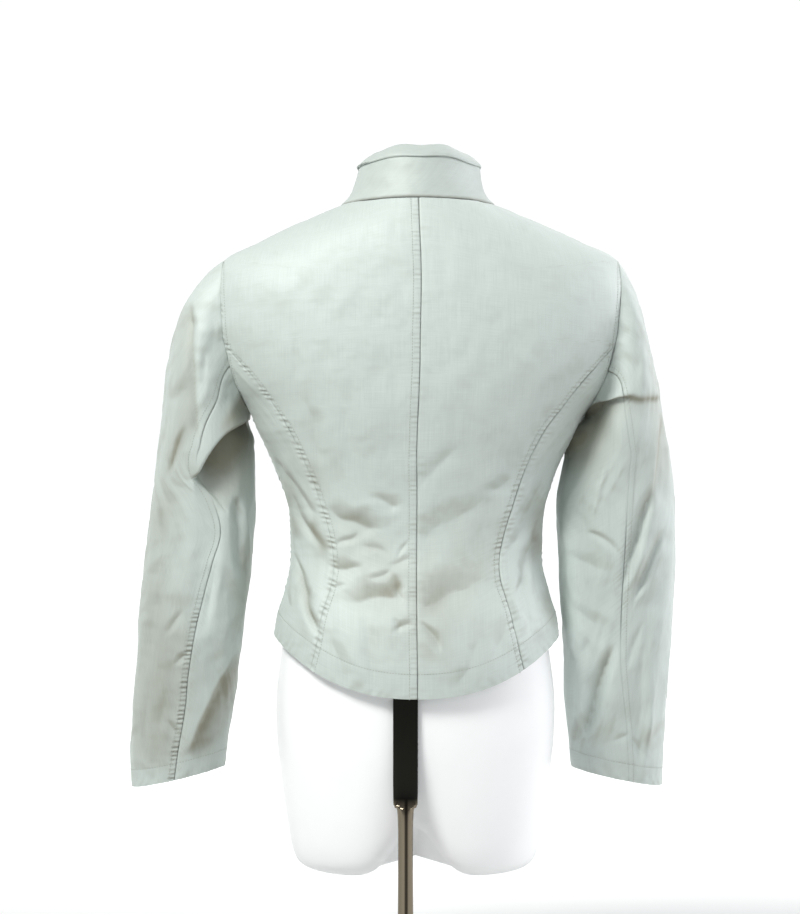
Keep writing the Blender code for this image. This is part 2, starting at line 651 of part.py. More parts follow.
def make_stand(chrome, stand):
    turn = np.linspace(0, 2 * math.pi, TUBE_SIDES, endpoint=False)
    rings = []
    for row in range(TUBE.last + 1):
        half_x, half_y, z, power = (TUBE.at(name, row) for name in ("half_x", "half_y", "z", "squareness"))
        cosine, sine = np.cos(turn), np.sin(turn)
        x = STAND_X + half_x * np.sign(cosine) * np.abs(cosine) ** (2 / power)
        y = STAND_Y + half_y * np.sign(sine) * np.abs(sine) ** (2 / power)
        rings.append(np.stack([x, y, np.full(TUBE_SIDES, z)], axis=-1))
    loft("stand_tube", rings, chrome, stand)
    turned("stand_base", BASE_PROFILE, BASE_STEPS, chrome, stand)


def main():
    for thing in list(bpy.data.objects):
        bpy.data.objects.remove(thing)
    collection = bpy.data.collections.new("summer_jacket_on_form")
    bpy.context.scene.collection.children.link(collection)
    jacket, stand = (bpy.data.objects.new(name, None) for name in ("jacket", "stand"))
    for empty in (jacket, stand):
        collection.objects.link(empty)
    materials = {name: principled(name) for name in COLOURS}
    make_body(materials["cloth"], jacket)
    make_sleeves(materials["cloth"], jacket)
    make_collar(materials["cloth"], jacket)
    make_buttons(materials["button"], jacket)
    make_form(materials["form"], stand)
    make_stand(materials["chrome"], stand)


main()
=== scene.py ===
import math

import bpy
import numpy as np
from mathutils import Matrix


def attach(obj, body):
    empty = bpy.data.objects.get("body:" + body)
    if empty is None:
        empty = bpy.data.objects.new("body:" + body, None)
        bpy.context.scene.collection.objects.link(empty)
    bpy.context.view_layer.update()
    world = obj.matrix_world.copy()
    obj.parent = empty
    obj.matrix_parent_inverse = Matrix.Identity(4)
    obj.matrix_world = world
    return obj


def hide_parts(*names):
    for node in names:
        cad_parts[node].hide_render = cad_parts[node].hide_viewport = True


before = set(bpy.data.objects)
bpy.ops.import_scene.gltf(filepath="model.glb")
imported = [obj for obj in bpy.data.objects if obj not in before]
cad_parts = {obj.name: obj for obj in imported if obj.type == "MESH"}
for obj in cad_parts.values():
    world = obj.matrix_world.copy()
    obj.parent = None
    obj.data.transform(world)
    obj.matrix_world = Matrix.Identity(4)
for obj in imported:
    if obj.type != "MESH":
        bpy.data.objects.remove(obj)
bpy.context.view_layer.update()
print("frame loaded:", len(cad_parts), "nodes")

left, right = -1, 1
sideNames = {left: "left", right: "right"}
mm = 0.001
fineCount = dict(levels=500, row=140, sleeve=700, sleeveRow=90, armhole=240, front=400)  # points to measure curves by


class SizeTable:
    # rows of named sizes, read between the rows along a smooth curve
    def __init__(self, columns, rows):
        self.columns = dict(zip(columns.split(), np.array(rows, float).T))
        self.last = len(rows) - 1

    def at(self, name, place):
        values = self.columns[name]
        place = np.clip(np.asarray(place, float), 0, self.last)
        first = np.minimum(place.astype(int), self.last - 1)
        t = place - first
        ends = [2 * values[0] - values[1]], [2 * values[-1] - values[-2]]
        a, b, c, d = (np.concatenate([ends[0], values, ends[1]])[first + k] for k in range(4))
        return b + 0.5 * t * (c - a + t * (2 * a - 5 * b + 4 * c - d + t * (3 * (b - c) + d - a)))


def addObject(name, data):
    thing = bpy.data.objects.new(name, data)
    bpy.context.collection.objects.link(thing)
    return thing


def meshObject(name, points, faces, *materials):
    mesh = bpy.data.meshes.new(name)
    mesh.from_pydata(points, [], faces)
    mesh.shade_smooth()
    for material in materials:
        mesh.materials.append(material)
    return addObject(name, mesh)


def unit(vectors):
    return vectors / np.linalg.norm(vectors, axis=-1, keepdims=True)


def runLength(points):
    # distance along rows of points, from the first one
    steps = np.linalg.norm(np.diff(points, axis=0), axis=-1)
    return np.concatenate([np.zeros((1,) + steps.shape[1:]), np.cumsum(steps, axis=0)])


# the jacket's cut, in metres: the same rings as the solids

ringColumns = "zSide zBack zFront halfWidth back front squareness shift"
bodyRings = SizeTable(ringColumns, [
    (0.405, 0.348, 0.392, 0.1490, 0.1300, 0.114, 2.30, 0.0015),  # hem
    (0.425, 0.380, 0.415, 0.1460, 0.1290, 0.111, 2.30, 0.0015),
    (0.450, 0.420, 0.443, 0.1385, 0.1190, 0.106, 2.30, 0.0010),
    (0.478, 0.460, 0.475, 0.1322, 0.1010, 0.101, 2.30, 0.0008),
    (0.505, 0.497, 0.503, 0.1320, 0.0900, 0.099, 2.30, 0.0010),  # waist
    (0.545, 0.545, 0.545, 0.1360, 0.0910, 0.104, 2.30, 0.0013),
    (0.585, 0.588, 0.583, 0.1507, 0.0990, 0.116, 2.30, 0.0010),
    (0.615, 0.622, 0.613, 0.1655, 0.1060, 0.127, 2.35, 0.0018),
    (0.637, 0.650, 0.640, 0.1760, 0.1105, 0.131, 2.40, 0.0030),  # underarm
    (0.668, 0.680, 0.668, 0.1980, 0.1125, 0.128, 2.50, 0.0042),
    (0.700, 0.708, 0.694, 0.2140, 0.1130, 0.121, 2.50, 0.0045),
    (0.735, 0.733, 0.718, 0.2220, 0.1120, 0.112, 2.50, 0.0050),
    (0.768, 0.756, 0.740, 0.2200, 0.1095, 0.102, 2.50, 0.0055),
    (0.796, 0.778, 0.760, 0.2050, 0.1065, 0.092, 2.40, 0.0055),  # shoulder tip
    (0.813, 0.802, 0.776, 0.1720, 0.1020, 0.082, 2.30, 0.0048),
    (0.829, 0.823, 0.789, 0.1380, 0.0960, 0.074, 2.20, 0.0040),
    (0.843, 0.840, 0.799, 0.1060, 0.0880, 0.067, 2.10, 0.0034),
    (0.8525, 0.8546, 0.806, 0.0820, 0.0800, 0.061, 2.00, 0.0030),  # neck seam
])
underarm, shoulder, neck = 8, 13, 17
junction = 10.16  # where the princess seam runs into the armhole
princessSeam = SizeTable("x", [
    (0.108,), (0.102,), (0.095,), (0.0855,), (0.0865,), (0.099,),
    (0.115,), (0.131,), (0.1475,), (0.171,), (0.1985,),
])
armhole = SizeTable("back front", [
    (0.1760, 0.1760), (0.191, 0.180), (0.200, 0.178), (0.204, 0.182), (0.206, 0.193), (0.205, 0.205),
])
sleeveColumns = "z x y halfX halfY tilt"
sleeveRings = {
    right: SizeTable(sleeveColumns, [
        (0.600, 0.2140, 0.010, 0.0540, 0.0620, 0.000),
        (0.545, 0.2120, 0.018, 0.0620, 0.0580, 0.000),
        (0.481, 0.2138, 0.027, 0.0620, 0.0545, 0.001),
        (0.438, 0.2143, 0.033, 0.0600, 0.0525, 0.003),
        (0.373, 0.2150, 0.042, 0.0560, 0.0500, 0.005),
        (0.330, 0.2140, 0.049, 0.0535, 0.0480, 0.007),
        (0.287, 0.2150, 0.055, 0.0510, 0.0460, 0.009),
        (0.249, 0.2164, 0.060, 0.0489, 0.0445, 0.010),
    ]),
    left: SizeTable(sleeveColumns, [
        (0.602, 0.2197, 0.010, 0.0500, 0.0620, 0.000),
        (0.545, 0.2235, 0.018, 0.0545, 0.0580, 0.000),
        (0.481, 0.2296, 0.026, 0.0567, 0.0545, 0.001),
        (0.438, 0.2349, 0.032, 0.0574, 0.0525, 0.003),
        (0.373, 0.2425, 0.041, 0.0549, 0.0500, 0.005),
        (0.330, 0.2465, 0.047, 0.0550, 0.0480, 0.007),
        (0.287, 0.2511, 0.052, 0.0531, 0.0460, 0.009),
        (0.249, 0.2533, 0.056, 0.0505, 0.0445, 0.0115),
    ]),
}
# angles of the sleeve seams, a row for each half row of the sleeve from the armhole to the cuff
sleeveSeams = {
    right: SizeTable("back front", [
        (235, 126), (257, 124), (277, 122), (278, 121), (277, 120), (275, 119), (273, 118), (272, 117), (271, 117),
        (270, 116), (270, 116), (273, 115), (276, 115), (279, 115), (280, 114), (281, 114), (281, 114),
    ]),
    left: SizeTable("back front", [
        (239, 126), (247, 124), (276, 122), (277, 121), (256, 120), (244, 119), (250, 118), (254, 117), (257, 117),
        (261, 116), (263, 116), (264, 115), (264, 115), (265, 115), (267, 114), (269, 114), (271, 114),
    ]),
}
capCut = dict(out=0.62, outAtTop=0.22, spread=0.18, down=0.68, levelAtTop=0.15, reach=0.36, gap=0.0002)
capHug = {  # the right cap's top falls closer to the arm
    right: dict(out=0.24, down=0.27, upperReach=0.16, lowerReach=0.09, drawIn=0.010),
    left: dict(out=0.0, down=0.0, upperReach=0.0, lowerReach=0.0, drawIn=0.0),
}


def ringPoint(table, side, angle, level):
    # -90 degrees is the centre back, 0 the side and 90 the centre front
    cosine, sine = np.cos(angle), np.sin(angle)
    behind = sine < 0
    depth = np.where(behind, table.at("back", level), table.at("front", level))
    middleZ = np.where(behind, table.at("zBack", level), table.at("zFront", level))
    sideZ = table.at("zSide", level)
    power = 2 / table.at("squareness", level)
    x = side * table.at("halfWidth", level) * np.sign(cosine) * np.abs(cosine) ** power + table.at("shift", level)
    y = depth * np.sign(sine) * np.abs(sine) ** power
    return np.stack([x, y, sideZ + (middleZ - sideZ) * sine ** 2], axis=-1)


def angleAt(level, x):
    share = np.clip(x / bodyRings.at("halfWidth", level), 0, 1)
    return np.arccos(share ** (bodyRings.at("squareness", level) / 2))


def armholeAngle(level, where, allowance=0.0):
    return angleAt(level, armhole.at(where, level - underarm) + allowance)


princessTip = 1 * mm  # width that the side back panel keeps at its tip
frontLap = 13 * mm
tuckUnder = 1.5 * mm  # the body's edge runs on under the sleeve by this much


def princessAngle(level):
    x = princessSeam.at("x", level)
    if level > underarm:
        x = min(x, armhole.at("back", level - underarm) - princessTip)
    return -angleAt(level, x)


def backOutline(level):
    if level <= junction:
        return -math.pi / 2, princessAngle(level)
    return -math.pi / 2, -armholeAngle(level, "back", tuckUnder) if level < shoulder else 0.0


def sideOutline(level):
    return princessAngle(level), -armholeAngle(level, "back", tuckUnder) if level > underarm else 0.0


def frontOutline(level):
    start = armholeAngle(level, "front", tuckUnder) if underarm < level < shoulder else 0.0
    return start, math.pi - angleAt(level, frontLap)


# folds, puckers and sewing, which move the cloth in, out or sideways

# creases in millimetres, seen from behind
sagColumns = "x0 z0 x1 z1 bow crest drop swell wide under fadeIn fadeOut"  # a valley between a crest and a swell
lapColumns = "x0 z0 x1 z1 bow above below lip depth tuck edge fadeIn fadeOut"  # cloth lapped over itself by the tuck
shadeColumns = "x0 z0 x1 z1 bow strength wide under fadeIn fadeOut"  # painted shade in the darker taupe colour, or a painted highlight where strength is below 0
creaseShape = dict(roundEnd=2.0, splay=0.9, thinEnd=0.4, soften=0.1, runOut=1.6)


def smooth(share):
    share = np.clip(share, 0, 1)
    return share * share * (3 - 2 * share)


def eachCrease(columns, rows, x, z):
    # with each crease's sizes: how far the points lie beside it (below 0 on the left of its run),
    # how strong it is there, and the way across it
    for row in rows:
        f = dict(zip(columns.split(), row))
        start = np.array([f["x0"], f["z0"]]) * mm
        line = np.array([f["x1"], f["z1"]]) * mm - start
        length = np.hypot(*line)
        dx, dz = x - start[0], z - start[1]
        run = (dx * line[0] + dz * line[1]) / length
        inside = np.clip(run / length, 0, 1)
        beside = (dx * line[1] - dz * line[0]) / length - f["bow"] * mm * 4 * inside * (1 - inside)
        spread = creaseShape["roundEnd"] * mm + creaseShape["splay"] * np.abs(beside)
        fade = smooth((run + spread) / (f["fadeIn"] * length + 2 * spread))
        fade *= smooth((length - run + spread) / (f["fadeOut"] * length + 2 * spread))
        yield f, beside, fade, np.array([line[1], 0, -line[0]]) / length


def wander(x, z, stray):
    # a crease does not run quite straight
    turnX, turnZ = 2 * math.pi * x / mm, 2 * math.pi * z / mm
    aside = 1.4 * np.sin(turnZ / 43 + 1.1 * np.sin(turnX / 57)) + 0.3 * np.sin(turnZ / 21 + turnX / 41)
    up = 1.4 * np.sin(turnX / 39 + 1.3 * np.sin(turnZ / 51)) + 0.3 * np.sin(turnX / 19 + turnZ / 43)
    return x + stray * aside * mm, z + stray * up * mm


def sagHeight(rows, x, z):
    height = np.zeros_like(x)
    thin = creaseShape["thinEnd"]
    for f, beside, fade, _ in eachCrease(sagColumns, rows, x, z):
        wide = np.where(beside < 0, f["wide"], f["under"]) * mm * (thin + (1 - thin) * fade)
        rise = np.where(beside < 0, f["crest"], f["swell"])
        soft = creaseShape["soften"] * min(f["wide"], f["under"]) * mm
        away = (np.hypot(beside, soft) - soft) / wide
        climb = (f["drop"] + rise) * np.sin(0.5 * math.pi * np.minimum(away, 1)) - f["drop"]
        fall = rise * np.exp(-((away - 1) / creaseShape["runOut"]) ** 2)
        height += mm * fade * np.where(away < 1, climb, fall)
    return height


def lapShift(rows, x, z):
    height, sideways = np.zeros_like(x), np.zeros(x.shape + (3,))
    for f, beside, fade, across in eachCrease(lapColumns, rows, x, z):
        upper = np.exp(-(np.minimum(beside, 0) / (f["above"] * mm)) ** 2)
        lower = np.exp(-(np.maximum(beside, 0) / (f["below"] * mm)) ** 2)
        turn = np.tanh(beside / (f["edge"] * mm))
        height += mm * fade * (0.5 * (1 - turn) * f["lip"] * upper - 0.5 * (1 + turn) * f["depth"] * lower)
        sideways += (-turn * f["tuck"] * mm * fade * upper * lower)[..., None] * across
    return height, sideways


def shadeDepth(rows, x, z):
    depth = np.zeros_like(x)
    for f, beside, fade, _ in eachCrease(shadeColumns, rows, x, z):
        wide = np.where(beside < 0, f["wide"], f["under"]) * mm
        depth += f["strength"] * fade * np.exp(-(beside / wide) ** 2)
    return depth


def wiggle(run, period, seed):
    # an uneven row of puckers along a seam
    turn = 2 * math.pi * run / period
    return np.sin(turn + 1.3 * np.sin(turn / 3.7 + seed)) * (0.64 + 0.36 * np.sin(turn / 5.3 + 2.1 * seed))


# the waves' lengths and rises in millimetres
pressedWaves = [(88, 0.30), (61, 0.24), (47, 0.18), (33, 0.12), (24, 0.08), (15, 0.05), (11, 0.035)]
# spacing and rise in millimetres, and length in metres
drapeFolds = [(47, 0.75, 0.17), (34, 0.60, 0.13), (26, 0.45, 0.11),
              (19, 0.30, 0.085), (14, 0.18, 0.07), (10, 0.10, 0.05)]


def softWaves(x, z, seed):
    # the slight unevenness of pressed cloth
    waves = np.zeros_like(x)
    for k, (size, rise) in enumerate(pressedWaves):
        heading = 2.4 * k + seed
        run = x * math.cos(heading) + z * math.sin(heading)
        cross = z * math.cos(heading) - x * math.sin(heading)
        swerve = 1.7 * np.sin(2 * math.pi * cross / (size * mm * 2.3) + k)
        waves += rise * mm * np.sin(2 * math.pi * run / (size * mm) + swerve)
    return waves


def drapeWaves(across, down, seed):
    # long shallow folds that run down the cloth, uneven in spacing and length
    waves = np.zeros_like(across)
    for k, (size, rise, length) in enumerate(drapeFolds):
        slant = 0.45 * math.sin(2.7 * k + 3.1 * seed)
        swerve = 2.0 * np.sin(2 * math.pi * down / (1.7 * length) + 1.3 * k + seed)
        turn = 2 * math.pi * (across + slant * down) / (size * mm) + swerve
        shift = 1.5 * np.sin(across / (60 * mm) + k)
        strength = 0.5 + 0.5 * np.sin(2 * math.pi * down / length + 2.1 * k + 5 * seed + shift)
        waves += rise * mm * strength * np.sin(turn)
    return waves


def tickRow(run, period, seed):
    # short creases across a sewn strip, one at about each period
    turn = math.pi * run / period + 0.45 * np.sin(2 * math.pi * run / (period * 4.3) + seed)
    strength = 0.65 + 0.35 * np.sin(2 * math.pi * run / (period * 7.1) + 3 * seed)
    return strength * np.exp(-(np.sin(turn) / 0.42) ** 2)


# a seam: its edges turn in, puckers and ticks run along it, and a topstitch lies beside it (millimetres); its line and
# ticks are painted darker, as painted shadow in its groove and creases
plainSeam = dict(turn=0.9, turnWide=0.55, roll=0.2, pucker=0.12, tick=0.0, period=11, slant=0.0, reach=7.0,
                 line=0.5, stitch=None, groove=0.0, seed=0.3)
centreSeam = dict(plainSeam, line=0.8, pucker=0.10)
princessLeft = dict(plainSeam, turn=0.4, line=0.15, period=6.4, seed=1.1)
princessRight = dict(plainSeam, seed=2.3)
armholeSeam = dict(plainSeam, period=6.0, seed=0.9)
sleeveBack = dict(plainSeam, line=0.7, pucker=0.15)
turnedEdge = dict(plainSeam, turn=0.0, line=0.0)
seams = {
    "centreBackLeft": dict(centreSeam, tick=0.40, period=5, stitch=8.0, groove=0.08),
    "centreBackRight": centreSeam,
    "princessBackLeft": dict(princessLeft, pucker=0.62, tick=0.25, slant=0.15, reach=4.0),
    "princessBackRight": dict(princessRight, pucker=0.30, tick=0.55, period=5.6, slant=0.1, stitch=6.0, groove=0.18),
    "princessSideLeft": dict(princessLeft, pucker=0.55, tick=0.2, slant=-0.15, reach=3.4),
    "princessSideRight": dict(princessRight, pucker=0.25, tick=0.1, period=6.4),
    "armholeBodyLeft": dict(armholeSeam, line=0.15, turn=0.7, turnWide=1.2, roll=0.0, pucker=0.40, tick=0.5,
                            slant=0.2, reach=5.0, stitch=8.0, groove=0.12),
    "armholeBodyRight": dict(armholeSeam, line=0.7, turn=1.6, turnWide=1.6, pucker=0.20, tick=0.35,
                             slant=0.3, stitch=8.5, groove=0.18),
    "armholeSleeve": dict(plainSeam, turn=0.25, line=0.12, roll=0.0, pucker=0.25, period=8.0, seed=1.7),
    "sideSeam": dict(plainSeam, pucker=0.95, tick=0.9, period=7.0, seed=2.9),
    "shoulderSeam": dict(plainSeam, pucker=0.15, period=10),
    "neckSeam": dict(plainSeam, turn=0.8, line=0.3, roll=0.0, pucker=0.08, period=12),
    "sleeveBackUpperLeft": dict(sleeveBack, tick=0.15, period=4.9, stitch=6.5, groove=0.12, seed=0.7),
    "sleeveBackUpperRight": dict(sleeveBack, tick=0.45, period=5.6, stitch=5.5, groove=0.15, seed=1.9),
    "sleeveLadderLeft": dict(turnedEdge, roll=0.0, pucker=0.1, tick=1.5, period=4.9, seed=0.7),
    "sleeveBackUnder": dict(plainSeam, roll=0.4, pucker=0.15, period=6.0, seed=0.7),
    "sleeveFront": dict(plainSeam, pucker=0.2, period=9),
    "openEdge": dict(turnedEdge, pucker=0.0, stitch=6.0, groove=0.3),
    "hemEdge": dict(turnedEdge, pucker=0.42, period=13, slant=0.3, stitch=25.0, groove=0.14, seed=1.3),
    "cuffEdge": dict(turnedEdge, pucker=0.25, period=15, slant=0.3, stitch=19.0, groove=0.14, seed=2.2),
}
seamShape = dict(roll=3.0, stripEdge=1.0, groove=1.0, doubled=0.25, line=0.45, tickShade=0.2)


def stitchAt(name):
    return seams[name]["stitch"] * mm


def seamHeight(name, distance, run):
    # the height of the cloth near a seam, and how dark it is painted there: painted shadow in the seam's groove and
    # ticks
    s = seams[name]
    run = run + s["slant"] * distance
    period, reach = s["period"] * mm, s["reach"] * mm
    height = -s["turn"] * np.exp(-(distance / (s["turnWide"] * mm)) ** 2)
    height -= s["roll"] * np.exp(-(distance / (seamShape["roll"] * mm)) ** 2)
    near = np.exp(-((distance - 0.45 * reach) / (0.75 * reach)) ** 2)
    height = height + s["pucker"] * wiggle(run, period, s["seed"]) * near
    strip = 0.5 * (1 - np.tanh((distance - reach) / (seamShape["stripEdge"] * mm)))
    ticks = s["tick"] * tickRow(run, period, s["seed"]) * strip
    height -= ticks
    if s["stitch"]:
        beside = distance - s["stitch"] * mm
        height -= s["groove"] * np.exp(-(beside / (seamShape["groove"] * mm)) ** 2)
        height += seamShape["doubled"] * s["groove"] * (1 - np.tanh(beside / (seamShape["groove"] * mm)))
    dark = s["line"] * np.exp(-(distance / (seamShape["line"] * mm)) ** 2)
    return height * mm, dark + seamShape["tickShade"] * ticks


# grids of cloth, in millimetres

edgeSteps = np.array([0.0, 0.5, 1.2, 2.4, 4.0, 6.0]) * mm
clothMesh = dict(rowStep=1.1, columnStep=2.3, frontStep=2.9, narrow=40, wall=1.0, innerStride=3)
rowStep, columnStep, frontStep = (clothMesh[name] * mm for name in ("rowStep", "columnStep", "frontStep"))
# painted shade: how much of the darker taupe weft colour is mixed in where a fold turns the cloth down, under or in;
# then how much darker the deepest cloth is painted, and how much paler the palest, a painted highlight
clothShade = dict(lean=1.2, mostLean=0.75, under=0.35, mostUnder=0.3, fold=40, mostFold=0.4,
                  dark=0.5, pale=0.7, palest=0.5, palestSeam=0.35)
stitchLift = 0.15
heldNear = 14 * mm  # a seam holds the cloth beside it


def columnPlaces(length, inner, lean=0.0):
    # distances across a row of that length: close at the edges, and closer towards the start where lean is above 0
    edge = edgeSteps * min(1, length / (clothMesh["narrow"] * mm))
    share = np.linspace(0, 1, inner + 2)[1:-1]
    share = share + lean * share * (share - 1)
    return np.concatenate([edge, edge[-1] + (length - 2 * edge[-1]) * share, length - edge[::-1]])


def evenLevels(first, last, side, angle, step):
    dense = np.linspace(first, last, fineCount["levels"])
    run = runLength(ringPoint(bodyRings, side, np.full(len(dense), angle), dense))
    count = int(run[-1] / step)
    return np.interp(np.linspace(0, run[-1], count + 1), run, dense)


class Cloth:
    # a grid of points with the distances to its four edges and its outward normals
    def __init__(self, points, outSign):
        self.points, self.outSign = points, outSign
        self.across = runLength(points.transpose(1, 0, 2)).T
        self.along = runLength(points)
        self.fromStart, self.fromEnd = self.across, self.across[:, -1:] - self.across
        self.fromFirst, self.fromLast = self.along, self.along[-1:] - self.along
        self.normals = self.normalsOf(points)
        self.relief, self.fold, self.shade, self.dark = np.zeros((4,) + points.shape[:2])
        self.moved = np.zeros(points.shape)

    def normalsOf(self, points):
        return self.outSign * unit(np.cross(np.gradient(points, axis=1), np.gradient(points, axis=0)))

    def sew(self, name, distance, run, where=1.0):
        height, dark = seamHeight(name, distance, run)
        self.relief += height * where
        self.dark += dark * where

    def crease(self, sags, where=1.0, facing=0.0, stray=1.0, laps=()):
        # facing turns the folds' depth towards the front (above 0) or back, so that the outline keeps its place
        x, z = self.points[..., 0], self.points[..., 2]
        where = np.broadcast_to(where, x.shape)
        height, sideways = lapShift(laps, x, z)
        height = (height + sagHeight(sags, *wander(x, z, stray))) * where
        flat = sideways - (sideways * self.normals).sum(axis=-1, keepdims=True) * self.normals
        self.fold += height
        self.moved += unit(self.normals + [0, facing, 0]) * height[..., None] + flat * where[..., None]

    # painted shade: shade rows mix the cloth unevenly towards the darker taupe, or paler as a painted highlight
    def darken(self, rows, where=1.0, stray=1.0):
        x, z = wander(self.points[..., 0], self.points[..., 2], stray)
        uneven = 1 + 0.4 * stray * softWaves(2.2 * x, 1.4 * z, 0.7) / mm
        self.shade += where * shadeDepth(rows, x, z) * uneven

    def soften(self, sizes, side):
        x, y, z = self.points.transpose(2, 0, 1)
        seed = sizes["seed"] + side
        self.relief += sizes["rise"] * softWaves(x + 0.6 * y, z, seed)
        held = np.clip(np.minimum(self.fromStart, self.fromEnd) / heldNear, 0, 1)
        self.relief += sizes["drape"] * held * drapeWaves(self.across, self.along, seed)

    def finish(self):
        shade = clothShade
        self.surface = self.points + self.normals * self.relief[..., None] + self.moved
        rise = self.normalsOf(self.surface)[..., 2]
        # painted shade: the taupe share grows where folds tilt the cloth down, where it faces down and in deep folds,
        # plus the shade rows; past 1 the cloth is painted darker still, below 0 paler as a painted highlight
        tint = np.clip(shade["lean"] * (self.normals[..., 2] - rise), 0, shade["mostLean"])
        tint = tint + np.clip(-shade["under"] * rise, 0, shade["mostUnder"])
        tint = tint + np.clip(-self.fold / (shade["fold"] * mm), 0, shade["mostFold"]) + self.shade
        self.tint = np.clip(tint, 0, 1)
        self.dark += shade["dark"] * np.clip(tint - 1, 0, 1) + shade["pale"] * np.clip(tint, -shade["palest"], 0)

    def lineAt(self, distance, values, kept=None, down=False):
        # points just above the finished cloth at a distance from an edge: one for each row, or each column with down
        lifted = self.surface + self.normals * stitchLift * mm
        if down:
            values, lifted = values.T, lifted.transpose(1, 0, 2)
            kept = range(2, len(values) - 2)
        found = []
        for line in range(len(values)) if kept is None else kept:
            order = np.argsort(values[line])
            found.append([np.interp(distance, values[line][order], lifted[line][order, k]) for k in range(3)])
        return np.array(found)

    def flatSize(self):
        # the widest row and longest column, and the area, of the cloth laid flat
        corner = self.points
        doubled = np.cross(corner[1:, 1:] - corner[:-1, :-1], corner[1:, :-1] - corner[:-1, 1:])
        area = 0.5 * np.linalg.norm(doubled, axis=-1).sum()
        return float(self.across[:, -1].max()), float(self.along[-1].max()), float(area)


def panelCloth(side, outline, levels, widest, step):
    inner = max(2, int((widest - 2 * edgeSteps[-1]) / step))
    rows = []
    for level in levels:
        fine = np.linspace(*outline(level), fineCount["row"])
        run = runLength(ringPoint(bodyRings, side, fine, np.full(len(fine), level)))
        angles = np.interp(columnPlaces(run[-1], inner), run, fine)
        rows.append(ringPoint(bodyRings, side, angles, np.full(len(angles), level)))
    return Cloth(np.array(rows), side)


def gridQuads(index):
    return np.stack([index[:-1, :-1], index[:-1, 1:], index[1:, 1:], index[1:, :-1]], axis=-1).reshape(-1, 4)


def everyFew(count):
    return np.append(np.arange(0, count - 1, clothMesh["innerStride"]), count - 1)


def edgeLoop(index, rowStops, columnStops):
    # the edge of a grid, one way round, in runs that end where a row or column of the inner side does
    top, bottom = index[0], index[-1][::-1]
    far, near = index[:, -1], index[::-1, 0]
    runs = []
    for line, stops in ((top, columnStops), (far, rowStops),
                        (bottom, len(top) - 1 - columnStops[::-1]), (near, len(far) - 1 - rowStops[::-1])):
        runs += [line[a:b + 1] for a, b in zip(stops, stops[1:])]
    return runs


def clothObject(name, panel, flip):
    # a fine outer side, a plainer inner side a wall's thickness behind it, and a rim that closes the edges
    rows, columns = panel.surface.shape[:2]
    index = np.arange(rows * columns).reshape(rows, columns)
    rowStops, columnStops = everyFew(rows), everyFew(columns)
    kept = index[np.ix_(rowStops, columnStops)]
    innerGrid = rows * columns + np.arange(kept.size).reshape(kept.shape)
    kept = kept.reshape(-1)
    innerOf = dict(zip(kept.tolist(), innerGrid.reshape(-1).tolist()))
    behind = panel.surface - panel.normals * clothMesh["wall"] * mm
    faces = gridQuads(index).tolist() + gridQuads(innerGrid)[:, ::-1].tolist()
    for run in edgeLoop(index, rowStops, columnStops):
        faces.append(run[::-1].tolist() + [innerOf[int(run[0])], innerOf[int(run[-1])]])
    if flip:
        faces = [face[::-1] for face in faces]
    points = np.concatenate([panel.surface.reshape(-1, 3), behind.reshape(-1, 3)[kept]])
    thing = meshObject(name, points, faces, clothLook)
    mesh = thing.data
    source = np.concatenate([np.arange(rows * columns), kept])
    weave = mesh.uv_layers.new(name="weave")
    places = np.stack([panel.across, panel.along], axis=-1).reshape(-1, 2)[source]
    weave.uv.foreach_set("vector", places[np.concatenate(faces)].astype(np.float32).reshape(-1))
    # the weft attribute is the painted shade share; the seam attribute holds painted shadow in the seams' grooves, the
    # deepest folds painted darker and the palest cloth painted paler
    for layer, values in (("weft", panel.tint), ("seam", np.clip(panel.dark, -clothShade["palestSeam"], 1))):
        made = mesh.attributes.new(layer, "FLOAT", "POINT")
        made.data.foreach_set("value", values.reshape(-1)[source].astype(np.float32))
    sharp = mesh.attributes.new("sharp_edge", "BOOLEAN", "EDGE")
    corners = np.zeros((len(mesh.edges), 2), np.int32)
    mesh.edges.foreach_get("vertices", corners.reshape(-1))
    onRim = np.zeros(len(mesh.vertices), bool)
    onRim[np.concatenate([index[0], index[-1], index[:, 0], index[:, -1]])] = True
    sharp.data.foreach_set("value", onRim[corners].all(axis=1))
    return thing


# materials

class Wire:
    # a shader socket that takes part in sums
    def __init__(self, tree, socket):
        self.tree, self.socket = tree, socket

    def node(self, kind, settings=None, inputs=None, output=0):
        made = self.tree.nodes.new(kind)
        for name, value in (settings or {}).items():
            setattr(made, name, value)
        for name, value in (inputs or {}).items():
            if isinstance(value, Wire):
                self.tree.links.new(value.socket, made.inputs[name])
            else:
                made.inputs[name].default_value = value
        return Wire(self.tree, made.outputs[output])

    def sum(self, operation, first, second=0.0):
        return self.node("ShaderNodeMath", {"operation": operation}, {0: first, 1: second})

    def __add__(self, other):
        return self.sum("ADD", self, other)

    def __sub__(self, other):
        return self.sum("SUBTRACT", self, other)

    def __mul__(self, other):
        return self.sum("MULTIPLY", self, other)

    def __truediv__(self, other):
        return self.sum("DIVIDE", self, other)

    def __rsub__(self, other):
        return self.sum("SUBTRACT", other, self)

    __radd__, __rmul__ = __add__, __mul__

    def other(self, output):
        # another socket of the same node
        return Wire(self.tree, self.socket.node.outputs[output])

    def limit(self, low, high):
        return self.node("ShaderNodeClamp", None, {"Value": self, "Min": low, "Max": high})

    def mix(self, first, second):
        return self.node("ShaderNodeMix", {"data_type": "RGBA"}, {0: self, 6: first, 7: second}, 2)


def newMaterial(name, constants):
    material = bpy.data.materials.new(name)
    material.use_nodes = True
    tree = material.node_tree
    shader = tree.nodes["Principled BSDF"]
    for socket, value in constants.items():
        shader.inputs[socket].default_value = value
    start = Wire(tree, shader.outputs[0])

    def feed(socket, wire):
        tree.links.new(wire.socket, shader.inputs[socket])
    return material, start, feed


